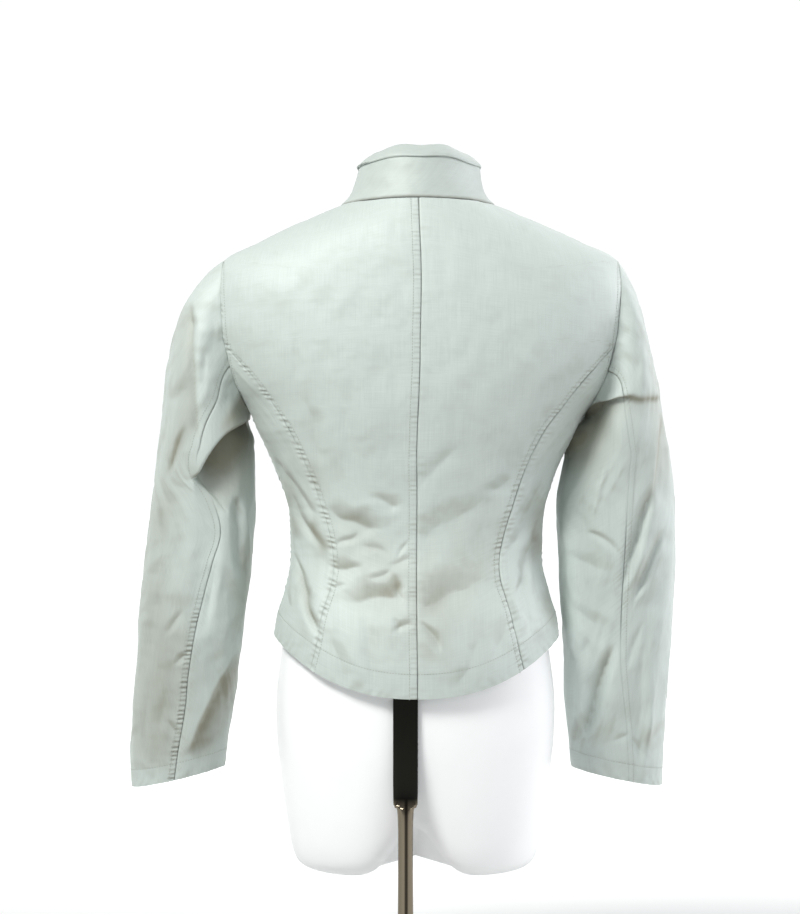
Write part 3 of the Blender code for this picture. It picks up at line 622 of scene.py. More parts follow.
weaveSizes = dict(
    lit=(0.535, 0.598, 0.571, 1), weft=(0.262, 0.258, 0.202, 1),  # sage where the cloth faces up; a darker taupe, partly the shot weave's weft, mixed in as painted shade where it turns under
    slubFine=1300.0, slubLong=34.0, warpLong=23.8, slubShade=0.22, cloudShade=0.06, seamShade=0.85,
    slubDetail=3.0, cloud=(14.0, 9.0, 1), cloudDetail=2.0, roughness=0.60, slubRoughness=0.16,
    thread=0.00095, weaveRise=0.35, slubRise=0.8, bump=0.22, bumpDepth=0.0003,
)
weaveConstants = {"Metallic": 0.10, "Sheen Weight": 0.30, "Sheen Roughness": 0.35, "Sheen Tint": (0.93, 0.96, 0.94, 1),
                  "Specular IOR Level": 0.45}


def clothMaterial():
    look = weaveSizes
    material, start, feed = newMaterial("silverSageCloth", weaveConstants)
    uv = start.node("ShaderNodeUVMap", {"uv_map": "weave"})

    def slub(scale, detail):
        place = start.node("ShaderNodeMapping", None, {"Vector": uv, "Scale": scale})
        return start.node("ShaderNodeTexNoise", None, {
            "Vector": place, "Scale": 1.0, "Detail": detail, "Roughness": 0.6})

    weft = slub((look["slubLong"], look["slubFine"], 1), look["slubDetail"])
    warp = slub((look["slubFine"], look["warpLong"], 1), look["slubDetail"])
    cloud = slub(look["cloud"], look["cloudDetail"])
    paintedShadeShare = start.node("ShaderNodeAttribute", {"attribute_name": "weft"}, None, 2)
    seam = start.node("ShaderNodeAttribute", {"attribute_name": "seam"}, None, 2)
    shade = (weft - 0.5) * look["slubShade"] + (warp - 0.5) * look["slubShade"] + (cloud - 0.5) * look["cloudShade"]
    # painted shade: the sage is mixed towards the darker taupe by the weft attribute
    tone = paintedShadeShare.mix(look["lit"], look["weft"])
    # the seam attribute darkens seam grooves and the deepest folds as painted shade, and brightens the palest cloth as
    # a painted highlight
    bright = (shade + 1.0) * (1.0 - seam * look["seamShade"])
    feed("Base Color", start.node("ShaderNodeVectorMath", {"operation": "SCALE"}, {0: tone, "Scale": bright}))
    split = start.node("ShaderNodeSeparateXYZ", None, {0: uv})
    turn = 2 * math.pi / look["thread"]
    weave = start.sum("SINE", split * turn) * start.sum("SINE", split.other(1) * turn)
    height = weave * look["weaveRise"] + (weft + warp) * look["slubRise"]
    feed("Normal", start.node("ShaderNodeBump", None, {
        "Strength": look["bump"], "Distance": look["bumpDepth"], "Height": height}))
    feed("Roughness", (weft - 0.5) * look["slubRoughness"] + look["roughness"])
    return material


def plainMaterial(name, colour, roughness, constants, speckle, scale):
    # a moulded or polished finish with a faint unevenness
    material, start, feed = newMaterial(name, constants)
    place = start.node("ShaderNodeTexCoord", None, None, 3)
    grain = start.node("ShaderNodeTexNoise", None, {"Vector": place, "Scale": scale, "Detail": 4.0})
    feed("Base Color", grain.mix([c * (1 - speckle) for c in colour] + [1], [c * (1 + speckle) for c in colour] + [1]))
    feed("Roughness", (grain - 0.5) * 0.2 * roughness + roughness)
    return material


tubeLookSizes = dict(
    darkFrom=0.240, darkRise=0.008, streakAt=-0.0098, streakHalf=0.0022, streak=0.9,  # metres, and a share
    bright=(0.23, 0.195, 0.145, 1), streakTone=(0.02, 0.016, 0.012, 1), flatTone=(0.020, 0.020, 0.017, 1),
)


def tubeMaterial():
    # bright polished tube with a painted dark reflection streak down it; its flattened end is dark
    look = tubeLookSizes
    material, start, feed = newMaterial("polishedTube", {"Metallic": 1.0, "IOR": 2.5})
    place = start.node("ShaderNodeTexCoord", None, None, 3)
    grain = start.node("ShaderNodeTexNoise", None, {"Vector": place, "Scale": 90.0, "Detail": 3.0})
    split = start.node("ShaderNodeSeparateXYZ", None, {0: place})
    dark = ((split.other(2) - look["darkFrom"]) / look["darkRise"]).limit(0.0, 1.0)
    aside = (split - look["streakAt"]) / look["streakHalf"]
    # painted reflection: a dark streak down the tube
    streak = (1.0 - aside * aside).limit(0.0, look["streak"])
    feed("Base Color", dark.mix(streak.mix(look["bright"], look["streakTone"]), look["flatTone"]))
    feed("Roughness", grain * 0.05 + 0.07)
    return material


clothLook = clothMaterial()
threadLook = plainMaterial("sageThread", (0.37, 0.40, 0.365), 0.6, {"Sheen Weight": 0.3}, 0.12, 900.0)
formLook = plainMaterial("satinForm", (0.93, 0.94, 0.95), 0.36, {"Specular IOR Level": 0.4}, 0.012, 60.0)
buttonLook = plainMaterial("sageButton", (0.46, 0.50, 0.455), 0.32, {"Coat Weight": 0.3}, 0.05, 240.0)
tubeLook = tubeMaterial()
baseLook = plainMaterial("polishedBase", (0.62, 0.61, 0.60), 0.16, {"Metallic": 1.0}, 0.02, 140.0)
print("materials ready")

pieces, stitchLines = {}, []


def addCloth(name, panel, flip, held):
    pieces[name] = (clothObject(f"{name}_cloth", panel, flip), panel, held)


def stitch(panel, distance, edge, rows=None, down=False):
    stitchLines.append(panel.lineAt(distance, edge, rows, down))


# the jacket's body

backSags = [
    (-39, 515, -95, 540, -3, 0.5, 2.0, 2.2, 26, 22, 0.1, 0.4),  # drags from the left waist towards the centre
    (-13, 539, -50, 549, 0, 0.3, 1.2, 0.7, 14, 13, 0.2, 0.45),
    (-50, 477, -87, 477, 0, 0.5, 1.2, 1.0, 14, 11, 0.4, 0.12),
    (-4, 486, -25, 479, 0, 0.3, 0.9, 0.6, 10, 9, 0.2, 0.4),
    (-10, 453, -80, 443, -2, 0.6, 2.3, 2.1, 24, 26, 0.2, 0.45),
    (-58, 512, -84, 497, 1, 0.5, 1.1, 0.9, 9, 8, 0.25, 0.4),
    (-30, 492, -62, 502, 0, 0.4, 0.8, 0.6, 10, 9, 0.3, 0.4),
    (-26, 474, -46, 466, 0, 0.4, 0.9, 0.7, 8, 7, 0.2, 0.4),
    (-21, 462, -12, 446, 0, 0.4, 0.9, 0.6, 6, 6, 0.3, 0.25),
    (-70, 462, -90, 452, 1, 0.3, 0.7, 0.5, 8, 8, 0.3, 0.35),
    (-8, 505, -18, 488, 0, 0.3, 0.7, 0.4, 6, 6, 0.3, 0.35),
    (-4, 425, -24, 413, 1, 0.4, 1.1, 0.6, 8, 7, 0.25, 0.35),
    (-15, 411, -24, 428, 0, 0.3, 0.8, 0.4, 6, 6, 0.3, 0.3),
    (-86, 413, -64, 354, 2, 0.8, 1.2, 0.6, 14, 16, 0.35, 0.35),
    (-44, 354, -52, 435, 2, 0.8, 1.0, 0.4, 14, 18, 0.35, 0.4),
    (-113, 652, -98, 577, -3, 1.2, 1.8, 0.8, 18, 16, 0.35, 0.25),  # long soft shades below the left shoulder blade
    (-120, 714, -123, 650, 1, 0.4, 0.8, 0.3, 10, 12, 0.35, 0.45),
    (-71, 656, -64, 573, 2, 0.6, 0.8, 0.4, 20, 22, 0.4, 0.4),
    (-147, 591, -102, 530, 2, 2.0, 2.2, 1.2, 9, 9, 0.2, 0.3),  # ridges on the left side panel
    (-133, 561, -94, 494, 2, 1.8, 2.0, 1.0, 9, 9, 0.25, 0.3),
    (-123, 488, -99, 408, 1, 1.6, 2.6, 1.4, 8, 7, 0.2, 0.15),
    (-137, 486, -129, 429, 0, 0.8, 1.2, 0.6, 8, 8, 0.3, 0.3),
    (81, 471, 5, 438, 0, 0.3, 2.3, 2.3, 32, 36, 0.45, 0.1),  # broad soft shades right of the centre
    (72, 546, 3, 505, 0, 0.3, 1.8, 1.8, 28, 28, 0.45, 0.12),
    (48, 607, 4, 559, 0, 0.3, 1.1, 1.1, 20, 20, 0.45, 0.15),
    (100, 569, 74, 552, 0, 0.3, 1.2, 1.0, 12, 14, 0.3, 0.35),
    (4, 428, 27, 396, 0, 0.8, 1.3, 0.5, 6, 9, 0.3, 0.25),
    (38, 354, 66, 415, 2, 0.7, 1.0, 0.4, 14, 16, 0.35, 0.4),
    (132, 571, 94, 490, -2, 1.0, 1.8, 1.4, 12, 12, 0.25, 0.35),  # streaks on the right side panel
    (127, 526, 102, 445, 0, 1.0, 1.6, 1.0, 9, 9, 0.3, 0.35),
    (106, 486, 115, 404, 0, 1.0, 1.6, 0.8, 8, 8, 0.3, 0.35),
    (92, 470, 102, 399, 0, 0.8, 1.2, 0.6, 8, 8, 0.3, 0.35),
    (80, 384, 94, 445, 2, 0.6, 1.0, 0.4, 12, 14, 0.35, 0.4),
    (147, 653, 108, 577, 3, 0.8, 1.4, 0.8, 12, 12, 0.3, 0.4),
]
sideShade = {  # painted shade where the side seams draw in
    left: [
        (-126, 538, -123, 502, 0, 0.4, 7, 7, 0.3, 0.3),
    ],
    right: [
        (128, 555, 123, 477, 0, 0.5, 8, 8, 0.25, 0.25),
        (135, 461, 143, 408, 0, 0.3, 8, 8, 0.3, 0.3),
    ],
}
waistShade = [  # painted shade in the creases, in the darker taupe colour
    (-15, 452, -72, 448, 0, 0.34, 2, 14, 0.2, 0.5),
    (-27, 474, -14, 454, 0, 0.30, 3, 9, 0.3, 0.2),
    (-88, 537, -42, 515, 0, 0.20, 13, 2, 0.4, 0.15),
    (-47, 555, -16, 541, 0, 0.16, 9, 2, 0.4, 0.2),
    (-84, 480, -52, 478, 0, 0.14, 9, 2, 0.15, 0.5),
    (-7, 428, -22, 415, 0, 0.18, 3, 4, 0.2, 0.3),
    (4, 427, 28, 397, 0, 0.16, 9, 3, 0.2, 0.3),
    (32, 463, 4, 440, 0, 0.12, 12, 14, 0.4, 0.15),
    (30, 548, 3, 518, 0, 0.10, 14, 14, 0.4, 0.15),
    (-112, 593, -94, 545, 0, 0.24, 9, 3, 0.3, 0.3),
    (-106, 529, -88, 487, 0, 0.48, 5, 9, 0.25, 0.25),
    (-123, 481, -101, 418, 1, 0.34, 4, 4, 0.2, 0.2),
    (-139, 572, -127, 528, 0, 0.30, 10, 6, 0.3, 0.3),
    (-130, 612, -112, 508, 0, 0.12, 20, 16, 0.3, 0.3),
    (-95, 505, -15, 490, 2, 0.20, 26, 34, 0.25, 0.4),
    (14, 480, 16, 372, 0, 0.13, 24, 14, 0.25, 0.25),
]
# painted shade on broad parts of the back
backShade = [
    (30, 530, 104, 480, 0, 0.16, 44, 44, 0.3, 0.3),
    (-66, 460, 86, 460, 0, 0.14, 46, 110, 0.3, 0.25),  # painted shade on the small of the back
]
frontSags = [  # soft drags from the fastening, the armholes and the waist
    (-96, 548, -6, 514, -5, 0.8, 2.0, 1.4, 22, 20, 0.5, 0.1),
    (6, 516, 84, 540, 4, 0.8, 1.8, 1.2, 20, 20, 0.1, 0.5),
    (-58, 500, -8, 508, 2, 0.5, 1.2, 0.8, 12, 14, 0.45, 0.15),
    (8, 500, 92, 486, -3, 0.8, 1.6, 1.2, 18, 20, 0.12, 0.5),
    (-128, 470, -58, 492, 4, 0.9, 1.8, 1.2, 20, 18, 0.25, 0.5),
    (126, 498, 60, 474, 3, 0.8, 1.6, 1.0, 18, 18, 0.25, 0.5),
    (-158, 668, -96, 640, 5, 1.0, 2.2, 1.4, 22, 20, 0.2, 0.5),
    (160, 676, 108, 632, -5, 1.0, 2.0, 1.2, 20, 20, 0.2, 0.5),
    (-146, 618, -112, 560, 3, 0.8, 1.4, 0.8, 16, 16, 0.3, 0.4),
    (142, 604, 104, 548, -3, 0.8, 1.4, 0.8, 16, 16, 0.3, 0.4),
    (-70, 590, -8, 602, 2, 0.6, 1.2, 0.8, 16, 18, 0.5, 0.1),
    (8, 602, 56, 594, -1, 0.6, 1.0, 0.6, 14, 16, 0.1, 0.5),
    (-84, 462, -66, 396, 2, 0.8, 1.2, 0.6, 14, 16, 0.4, 0.35),
    (58, 450, 80, 392, -2, 0.8, 1.2, 0.6, 14, 16, 0.4, 0.35),
    (-118, 440, -112, 386, 1, 0.6, 1.0, 0.5, 12, 12, 0.4, 0.35),
    (-40, 792, -88, 742, 3, 0.5, 1.0, 0.5, 16, 18, 0.4, 0.4),
    (44, 790, 96, 736, -3, 0.5, 0.9, 0.5, 16, 18, 0.4, 0.4),
]
# a panel's widest row in metres, the angle at which its rows are evenly spaced, and the waves of its cloth
backSizes = dict(widest=0.235, angle=-1.2, seed=0.4, rise=0.7, drape=0.22)
sideSizes = dict(widest=0.095, angle=-0.4, seed=1.4, rise=1.0, drape=0.45, creasesFrom=30, stitchesEnd=14)
frontSizes = dict(widest=0.30, angle=1.2, seed=2.4, rise=0.8, drape=0.45)
lapRaise = dict(height=2.1, near=20, far=60)  # millimetres: the upper front stands out where it covers the other
topstitch = dict(princess=6.0 * mm, armhole=8.3 * mm)


def cutPanel(side, outline, top, sizes, rowGap, columnGap):
    levels = evenLevels(0, top, side, sizes["angle"], rowGap)
    return levels, panelCloth(side, outline, levels, sizes["widest"], columnGap)


def rowsBetween(levels, low, high):
    # which rows lie below, along and above the armhole
    return (levels <= low)[:, None], ((levels > low) & (levels < high))[:, None], (levels >= high)[:, None]


def makeBack(side):
    word = sideNames[side].title()
    levels, panel = cutPanel(side, backOutline, neck, backSizes, rowStep, columnStep)
    lowRow, armRow, topRow = rowsBetween(levels, junction, shoulder)
    panel.sew(f"centreBack{word}", panel.fromStart, panel.along)
    panel.sew(f"princessBack{word}", panel.fromEnd, panel.along[:, -1:], lowRow)
    panel.sew(f"armholeBody{word}", panel.fromEnd, panel.along, armRow)
    panel.sew("shoulderSeam", panel.fromEnd, panel.along, topRow)
    panel.sew("hemEdge", panel.fromFirst, panel.across)
    panel.sew("neckSeam", panel.fromLast, panel.across)
    panel.crease(backSags)
    panel.darken(backShade + waistShade)
    panel.soften(backSizes, side)
    panel.finish()
    if side == left:
        stitch(panel, stitchAt("centreBackLeft"), panel.fromStart)
    stitch(panel, topstitch["princess"], panel.fromEnd, np.flatnonzero(lowRow))
    stitch(panel, topstitch["armhole"], panel.fromEnd, np.flatnonzero(armRow))
    stitch(panel, stitchAt("hemEdge"), panel.fromFirst, down=True)
    return panel


def makeSideBack(side):
    word = sideNames[side].title()
    levels, panel = cutPanel(side, sideOutline, junction, sideSizes, rowStep, columnStep)
    lowRow, armRow = rowsBetween(levels, underarm, shoulder)[:2]
    panel.sew(f"princessSide{word}", panel.fromStart, panel.along[:, :1])
    panel.sew(f"armholeBody{word}", panel.fromEnd, panel.along, armRow)
    panel.sew("sideSeam", panel.fromEnd, panel.along, lowRow)
    panel.sew("hemEdge", panel.fromFirst, panel.across)
    panel.crease(backSags, np.clip(panel.fromEnd / (sideSizes["creasesFrom"] * mm), 0, 1))
    panel.darken(sideShade[side] + waistShade)
    panel.soften(sideSizes, side)
    panel.finish()
    stitch(panel, topstitch["armhole"], panel.fromEnd, np.flatnonzero(armRow)[:-sideSizes["stitchesEnd"]])
    stitch(panel, stitchAt("hemEdge"), panel.fromFirst, down=True)
    return panel


def makeFront(side):
    levels, panel = cutPanel(side, frontOutline, neck, frontSizes, frontStep, frontStep)
    lowRow, armRow, topRow = rowsBetween(levels, underarm, shoulder)
    panel.sew("sideSeam", panel.fromStart, panel.along, lowRow)
    panel.sew(f"armholeBody{sideNames[side].title()}", panel.fromStart, panel.along, armRow)
    panel.sew("shoulderSeam", panel.fromStart, panel.along, topRow)
    panel.sew("openEdge", panel.fromEnd, panel.along)
    panel.sew("hemEdge", panel.fromFirst, panel.across)
    panel.sew("neckSeam", panel.fromLast, panel.across)
    panel.crease(frontSags)
    panel.soften(frontSizes, side)
    if side == right:
        near, far = lapRaise["near"] * mm, lapRaise["far"] * mm
        fromMiddle = panel.points[..., 0] - bodyRings.at("shift", levels)[:, None]
        panel.relief += lapRaise["height"] * mm * smooth((far - fromMiddle) / (far - near))
    panel.finish()
    stitch(panel, stitchAt("openEdge"), panel.fromEnd)
    stitch(panel, topstitch["armhole"], panel.fromStart, np.flatnonzero(armRow))
    stitch(panel, stitchAt("hemEdge"), panel.fromFirst, down=True)
    return panel


for part, make in (("back", makeBack), ("side_back", makeSideBack), ("front", makeFront)):
    for side in (left, right):
        addCloth(f"{part}_{sideNames[side]}", make(side), side == left, "draped")
print("body panels sewn")

# sleeves

sleeveLaps = {
    left: [
        (-229, 567, -162, 635, -12, 14, 36, 4.0, 30.0, 8.0, 1.6, 0.1, 0.05),  # the lip of the pocket below the armhole
        (-189, 522, -229, 569, 2, 8, 10, 1.0, 2.0, 1.2, 1.6, 0.45, 0.12),  # its lower edge
    ],
    right: [
        (174, 640, 227, 653, -3, 12, 24, 3.2, 9.0, 5.0, 1.8, 0.08, 0.55),  # the flap where the cap ends
        (204, 651, 268, 656, 4, 18, 20, 2.0, 2.5, 0.8, 4.0, 0.4, 0.2),
        (245, 532, 257, 640, -2, 8, 18, 1.6, 5.0, 1.6, 2.6, 0.35, 0.2),  # the long fold along the outer edge
    ],
}
sleeveSags = {
    left: [
        (-180, 447, -185, 548, -2, 3.4, 5.0, 0.8, 9, 11, 0.25, 0.15),  # a bright ridge and a dark side below the pocket
        (-237, 620, -257, 566, 1, 0.6, 1.7, 1.0, 6, 7, 0.3, 0.3),  # a soft shade left of the pocket
        (-231, 749, -225, 611, 0, 1.2, 2.6, 1.6, 7, 16, 0.15, 0.1),  # long shades down the upper sleeve
        (-247, 702, -268, 577, -2, 0.8, 1.8, 1.2, 8, 12, 0.3, 0.3),
        (-269, 399, -261, 566, 0, 1.0, 1.6, 0.4, 10, 22, 0.25, 0.25),
        (-214, 704, -220, 647, 0, 0.7, 1.1, 0.4, 8, 10, 0.35, 0.35),
        (-199, 752, -210, 698, 1, 0.6, 0.9, 0.4, 9, 11, 0.35, 0.4),
        (-248, 525, -235, 434, 2, 0.9, 1.4, 0.6, 12, 16, 0.35, 0.4),
        (-205, 491, -219, 409, 1, 0.8, 1.3, 0.5, 9, 11, 0.3, 0.3),
        (-180, 392, -238, 277, 4, -3.6, -2.6, 0.0, 22, 22, 0.3, 0.1),  # the dark hollow beside the lower back seam
        (-183, 428, -198, 369, 0, 1.2, 1.8, 0.8, 9, 10, 0.3, 0.35),
        (-260, 350, -271, 286, 1, 0.9, 1.3, 0.6, 12, 12, 0.35, 0.35),
        (-281, 345, -290, 270, 0, 0.8, 1.2, 0.5, 9, 10, 0.35, 0.35),
        (-212, 279, -195, 335, 0, 0.9, 1.4, 0.5, 8, 9, 0.3, 0.35),
        (-162, 643, -196, 613, 0, 0.8, 1.8, 1.0, 9, 9, 0.15, 0.4),  # a crease above the pocket's lip
        (-243, 430, -262, 402, 0, 0.6, 1.4, 0.8, 8, 9, 0.3, 0.4),
        (-238, 386, -252, 372, 0, 0.6, 1.3, 0.7, 7, 8, 0.3, 0.4),
        (-262, 316, -244, 291, 1, 0.6, 1.3, 0.7, 8, 8, 0.35, 0.35),
        (-181, 405, -172, 438, 0, 0.8, 1.4, 0.7, 8, 8, 0.3, 0.35),
    ],
    right: [
        (198, 590, 184, 526, 0, 0.0, -2.2, 0.0, 5, 3.4, 0.3, 0.3),  # a thin ridge and creases at the elbow
        (180, 512, 214, 486, -4, 0.4, 1.0, 0.4, 6, 8, 0.12, 0.35),
        (248, 566, 215, 449, 1, 3.8, 5.4, 2.2, 10, 12, 0.25, 0.25),  # bright diagonal folds
        (256, 514, 228, 439, 0, 3.0, 4.4, 1.8, 9, 10, 0.3, 0.3),
        (161, 491, 205, 470, 3, 0.5, 0.8, 0.4, 14, 14, 0.4, 0.4),
        (164, 437, 195, 411, 2, 0.5, 0.8, 0.4, 14, 16, 0.4, 0.4),
        (208, 396, 179, 294, 1, 4.0, 5.4, 2.0, 11, 14, 0.25, 0.12),  # the valley beside the lower back seam
        (158, 365, 185, 401, 1, 0.6, 0.9, 0.4, 12, 13, 0.35, 0.4),
        (171, 377, 165, 292, 1, 0.8, 1.3, 0.6, 10, 11, 0.3, 0.35),
        (237, 418, 221, 369, 0, 0.9, 1.4, 0.6, 8, 9, 0.35, 0.25),
        (237, 386, 237, 257, 0, 1.4, 1.4, 0.6, 12, 12, 0.3, 0.2),  # a flat fold on the outer side
        (207, 290, 225, 298, 0, 0.4, 0.8, 0.4, 7, 8, 0.35, 0.25),
        (226, 297, 243, 272, 1, 0.4, 0.8, 0.4, 7, 8, 0.25, 0.35),
        (259, 462, 252, 307, 2, 1.0, 1.5, 0.6, 10, 14, 0.35, 0.35),
        (233, 618, 227, 525, 2, 0.7, 1.2, 0.5, 10, 12, 0.35, 0.4),
        (232, 729, 225, 667, -2, 1.2, 1.4, 0.8, 14, 14, 0.3, 0.25),  # soft bulges of the cap
        (249, 698, 244, 663, 0, 0.9, 1.1, 0.6, 10, 10, 0.35, 0.25),
    ],
}
sleeveRecess = {  # where a sleeve lies back behind the body, or out
    left: [
        (-164, 556, -188, 330, 0, 0.0, -13.0, 0.0, 20, 48, 0.25, 0.2),
    ],
    right: [
        (180, 645, 152, 552, 0, 0.0, 16.0, 0.0, 46, 60, 0.08, 0.55),
        (150, 552, 168, 288, -1, 0.0, -16.0, 0.0, 30, 30, 0.2, 0.1),  # and where it is pressed flat
        (262, 470, 247, 280, 1, 0.0, -7.0, 0.0, 20, 22, 0.3, 0.12),
    ],
}
sleeveBulge = {  # where a sleeve rests against the body
    left: [
        (-163, 637, -170, 601, 0, 0.0, -5.0, 0.0, 24, 14, 0.15, 0.45),
    ],
    right: [
        (178, 648, 157, 591, 0, 0.0, -10.0, 0.0, 17, 32, 0.08, 0.45),
    ],
}
# painted shade in the darker taupe colour, and painted highlights where strength is below 0
sleeveShade = {
    left: [
        (-162, 632, -219, 568, 10, 0.8, 36, 4, 0.1, 0.2),  # painted shade on the floor of the pocket
        (-231, 752, -225, 611, 0, 0.34, 2, 26, 0.1, 0.06),  # painted shade on the side turned from the light
        (-238, 640, -272, 483, 0, 0.2, 14, 34, 0.2, 0.3),
        (-262, 570, -286, 390, 0, 0.2, 22, 30, 0.25, 0.35),
        (-237, 619, -257, 567, 1, 0.3, 4, 6, 0.3, 0.3),
        (-250, 483, -278, 262, 0, 0.48, 30, 40, 0.5, 0.05),
        (-180, 396, -238, 279, 4, 0.75, 19, 2, 0.35, 0.08),  # painted shade in the hollow beside the lower back seam
        (-172, 520, -180, 400, 0, 0.42, 10, 8, 0.25, 0.3),
        (-209, 530, -224, 370, 0, -0.32, 12, 12, 0.25, 0.3),  # a painted highlight where the cloth is palest
    ],
    right: [
        (184, 645, 156, 564, 0, 0.6, 27, 44, 0.06, 0.6),  # painted shade on the inner side below the armhole
        (188, 639, 219, 651, 0, 0.25, 3, 12, 0.15, 0.5),  # painted shadow below the flap
        (222, 652, 270, 656, 3, 0.12, 2.5, 6, 0.35, 0.2),
        (259, 640, 246, 532, 2, 0.4, 2.4, 3, 0.2, 0.4),  # painted shade at the edge of the outer fold
        (151, 540, 176, 280, 1, -0.5, 13, 26, 0.2, 0.15),  # a painted highlight on the inner edge
        (246, 756, 257, 520, -2, 0.26, 24, 14, 0.25, 0.35),  # painted shade on the outer side, turned from the light
    ],
}
lipShade = [(-170, 664, -206, 614, 0, 0.8, 20, 5, 0.12, 0.4)]  # painted shade inside the pocket's lip
elbowSags = {  # the unseen fronts of the sleeves: below the armhole, in the bend of the elbow and down the forearm
    left: [
        (-186, 655, -246, 600, 4, 1.2, 2.6, 1.6, 18, 20, 0.15, 0.45),
        (-190, 615, -232, 540, 3, 0.8, 1.8, 1.0, 14, 16, 0.2, 0.4),
        (-188, 512, -262, 528, -4, 1.6, 3.2, 2.4, 20, 18, 0.12, 0.5),
        (-192, 480, -240, 472, 2, 1.0, 2.2, 1.4, 14, 16, 0.15, 0.5),
        (-198, 446, -268, 416, -3, 1.4, 2.8, 1.8, 22, 18, 0.2, 0.45),
        (-236, 552, -272, 468, 3, 0.9, 1.5, 0.8, 16, 18, 0.35, 0.4),
        (-206, 400, -246, 330, 4, 1.0, 1.8, 1.0, 16, 18, 0.3, 0.45),
        (-262, 380, -280, 300, 2, 0.8, 1.4, 0.6, 14, 14, 0.35, 0.4),
        (-240, 720, -262, 650, 2, 0.6, 1.2, 0.6, 16, 18, 0.35, 0.4),
    ],
    right: [
        (184, 640, 240, 596, -3, 1.0, 2.4, 1.4, 18, 20, 0.15, 0.45),
        (186, 590, 222, 520, -3, 0.8, 1.6, 1.0, 14, 16, 0.2, 0.4),
        (178, 498, 246, 520, 4, 1.6, 3.0, 2.2, 18, 18, 0.12, 0.5),
        (182, 466, 232, 452, -2, 1.2, 2.4, 1.6, 16, 14, 0.15, 0.5),
        (184, 430, 252, 404, 3, 1.2, 2.4, 1.6, 22, 18, 0.2, 0.45),
        (226, 556, 258, 470, -3, 0.8, 1.4, 0.8, 16, 18, 0.35, 0.4),
        (196, 392, 232, 318, -4, 0.9, 1.6, 0.9, 16, 18, 0.3, 0.45),
        (246, 372, 252, 296, -2, 0.8, 1.2, 0.6, 14, 14, 0.35, 0.4),
        (226, 716, 246, 654, -2, 0.6, 1.2, 0.6, 16, 18, 0.35, 0.4),
    ],
}


def armholeLoop(side):
    levels = np.linspace(underarm, shoulder, fineCount["armhole"])
    halves = []
    for where, sign, up in (("front", 1, levels[::-1]), ("back", -1, levels)):
        points = ringPoint(bodyRings, side, sign * armholeAngle(up, where), up)
        run = runLength(points)
        halves.append((180 * run / run[-1], points))
    (frontTurn, front), (backTurn, back) = halves
    return np.concatenate([frontTurn, 180 + backTurn[1:]]), np.concatenate([front, back[1:]])


def sleeveRing(side, angle, row):
    rings = sleeveRings[side]
    cosine, sine = np.cos(angle), np.sin(angle)
    x = side * (rings.at("x", row) + rings.at("halfX", row) * cosine)
    y = rings.at("y", row) + rings.at("halfY", row) * sine
    return np.stack([x, y, rings.at("z", row) - rings.at("tilt", row) * cosine], axis=-1)


def capPoint(side, loop, turn, share):
    loopTurn, loopPoints = loop
    seam = np.stack([np.interp(turn, loopTurn, loopPoints[:, k]) for k in range(3)], axis=-1)
    angle = np.radians(turn)
    cosine, sine = np.cos(angle), np.sin(angle)
    hug, top = capHug[side], np.clip(cosine, 0, 1) ** 2
    out = side * (capCut["out"] + capCut["outAtTop"] * cosine - hug["out"] * top)
    down = capCut["down"] - capCut["levelAtTop"] * cosine + hug["down"] * top
    leave = unit(np.stack([out, capCut["spread"] * sine, -down], axis=-1))
    ring = sleeveRing(side, angle, np.zeros_like(angle))
    arrive = unit(sleeveRing(side, angle, np.full_like(angle, 0.05)) - ring)
    way = np.linalg.norm(ring - seam, axis=-1)
    upper = ((capCut["reach"] - hug["upperReach"] * top) * way)[..., None]
    lower = ((capCut["reach"] + hug["lowerReach"] * top) * way)[..., None]
    seam = seam + leave * capCut["gap"]
    lowHandle = ring - arrive * lower
    lowHandle[..., 0] -= side * hug["drawIn"] * top
    handles = seam, seam + leave * upper, lowHandle, ring
    rest = 1 - share
    weights = rest ** 3, 3 * rest ** 2 * share, 3 * rest * share ** 2, share ** 3
    return sum(weight * handle for weight, handle in zip(weights, handles))


def sleevePoints(side, loop, turn, place):
    turn = np.mod(turn, 360)
    if place <= 1:
        return capPoint(side, loop, turn, place)
    return sleeveRing(side, np.radians(turn), np.full_like(turn, place - 1))


sleeveSizes = dict(upperWidth=0.215, underWidth=0.16, columnShare=0.78, lean=0.4, seed=3.1, rise=0.7, drape=0.9)
backSeam = dict(
    lip=0.566, lipHalf=0.034, ladderTop=0.455, ladderFade=0.03,  # left: the pocket's lip hides the seam
    faint=0.3, low=0.385, lowFade=0.04, high=0.535, highFade=0.03, cap=0.640, capFade=0.015,  # right: folds hide parts
)
creaseFacing = dict(fold=-3.0, recess=-20.0, elbow=1.3)
sleeveStray, lipTurn, turnSharpness = 0.25, 0.45, 9
sleeveBackTurn = 270.0  # degrees


def sleeveGrid(side, upper):
    loop = armholeLoop(side)
    dense = np.linspace(0, sleeveRings[side].last + 1, fineCount["sleeve"])
    run = runLength(np.array([sleevePoints(side, loop, np.array([sleeveBackTurn]), place)[0] for place in dense]))
    places = np.append(np.interp(np.arange(0, run[-1], rowStep), run, dense), dense[-1])
    inner = int(sleeveSizes["columnShare"] * sleeveSizes["upperWidth" if upper else "underWidth"] / columnStep)
    lean = sleeveSizes["lean"] if upper else -sleeveSizes["lean"]
    rows = []
    for place in places:
        back, front = (sleeveSeams[side].at(name, 2 * place) for name in ("back", "front"))
        fine = np.linspace(*(back - 360, front) if upper else (front, back), fineCount["sleeveRow"])
        fineRun = runLength(sleevePoints(side, loop, fine, place))
        turn = np.interp(columnPlaces(fineRun[-1], inner, lean), fineRun, fine)
        rows.append(sleevePoints(side, loop, turn, place))
    return np.array(rows)


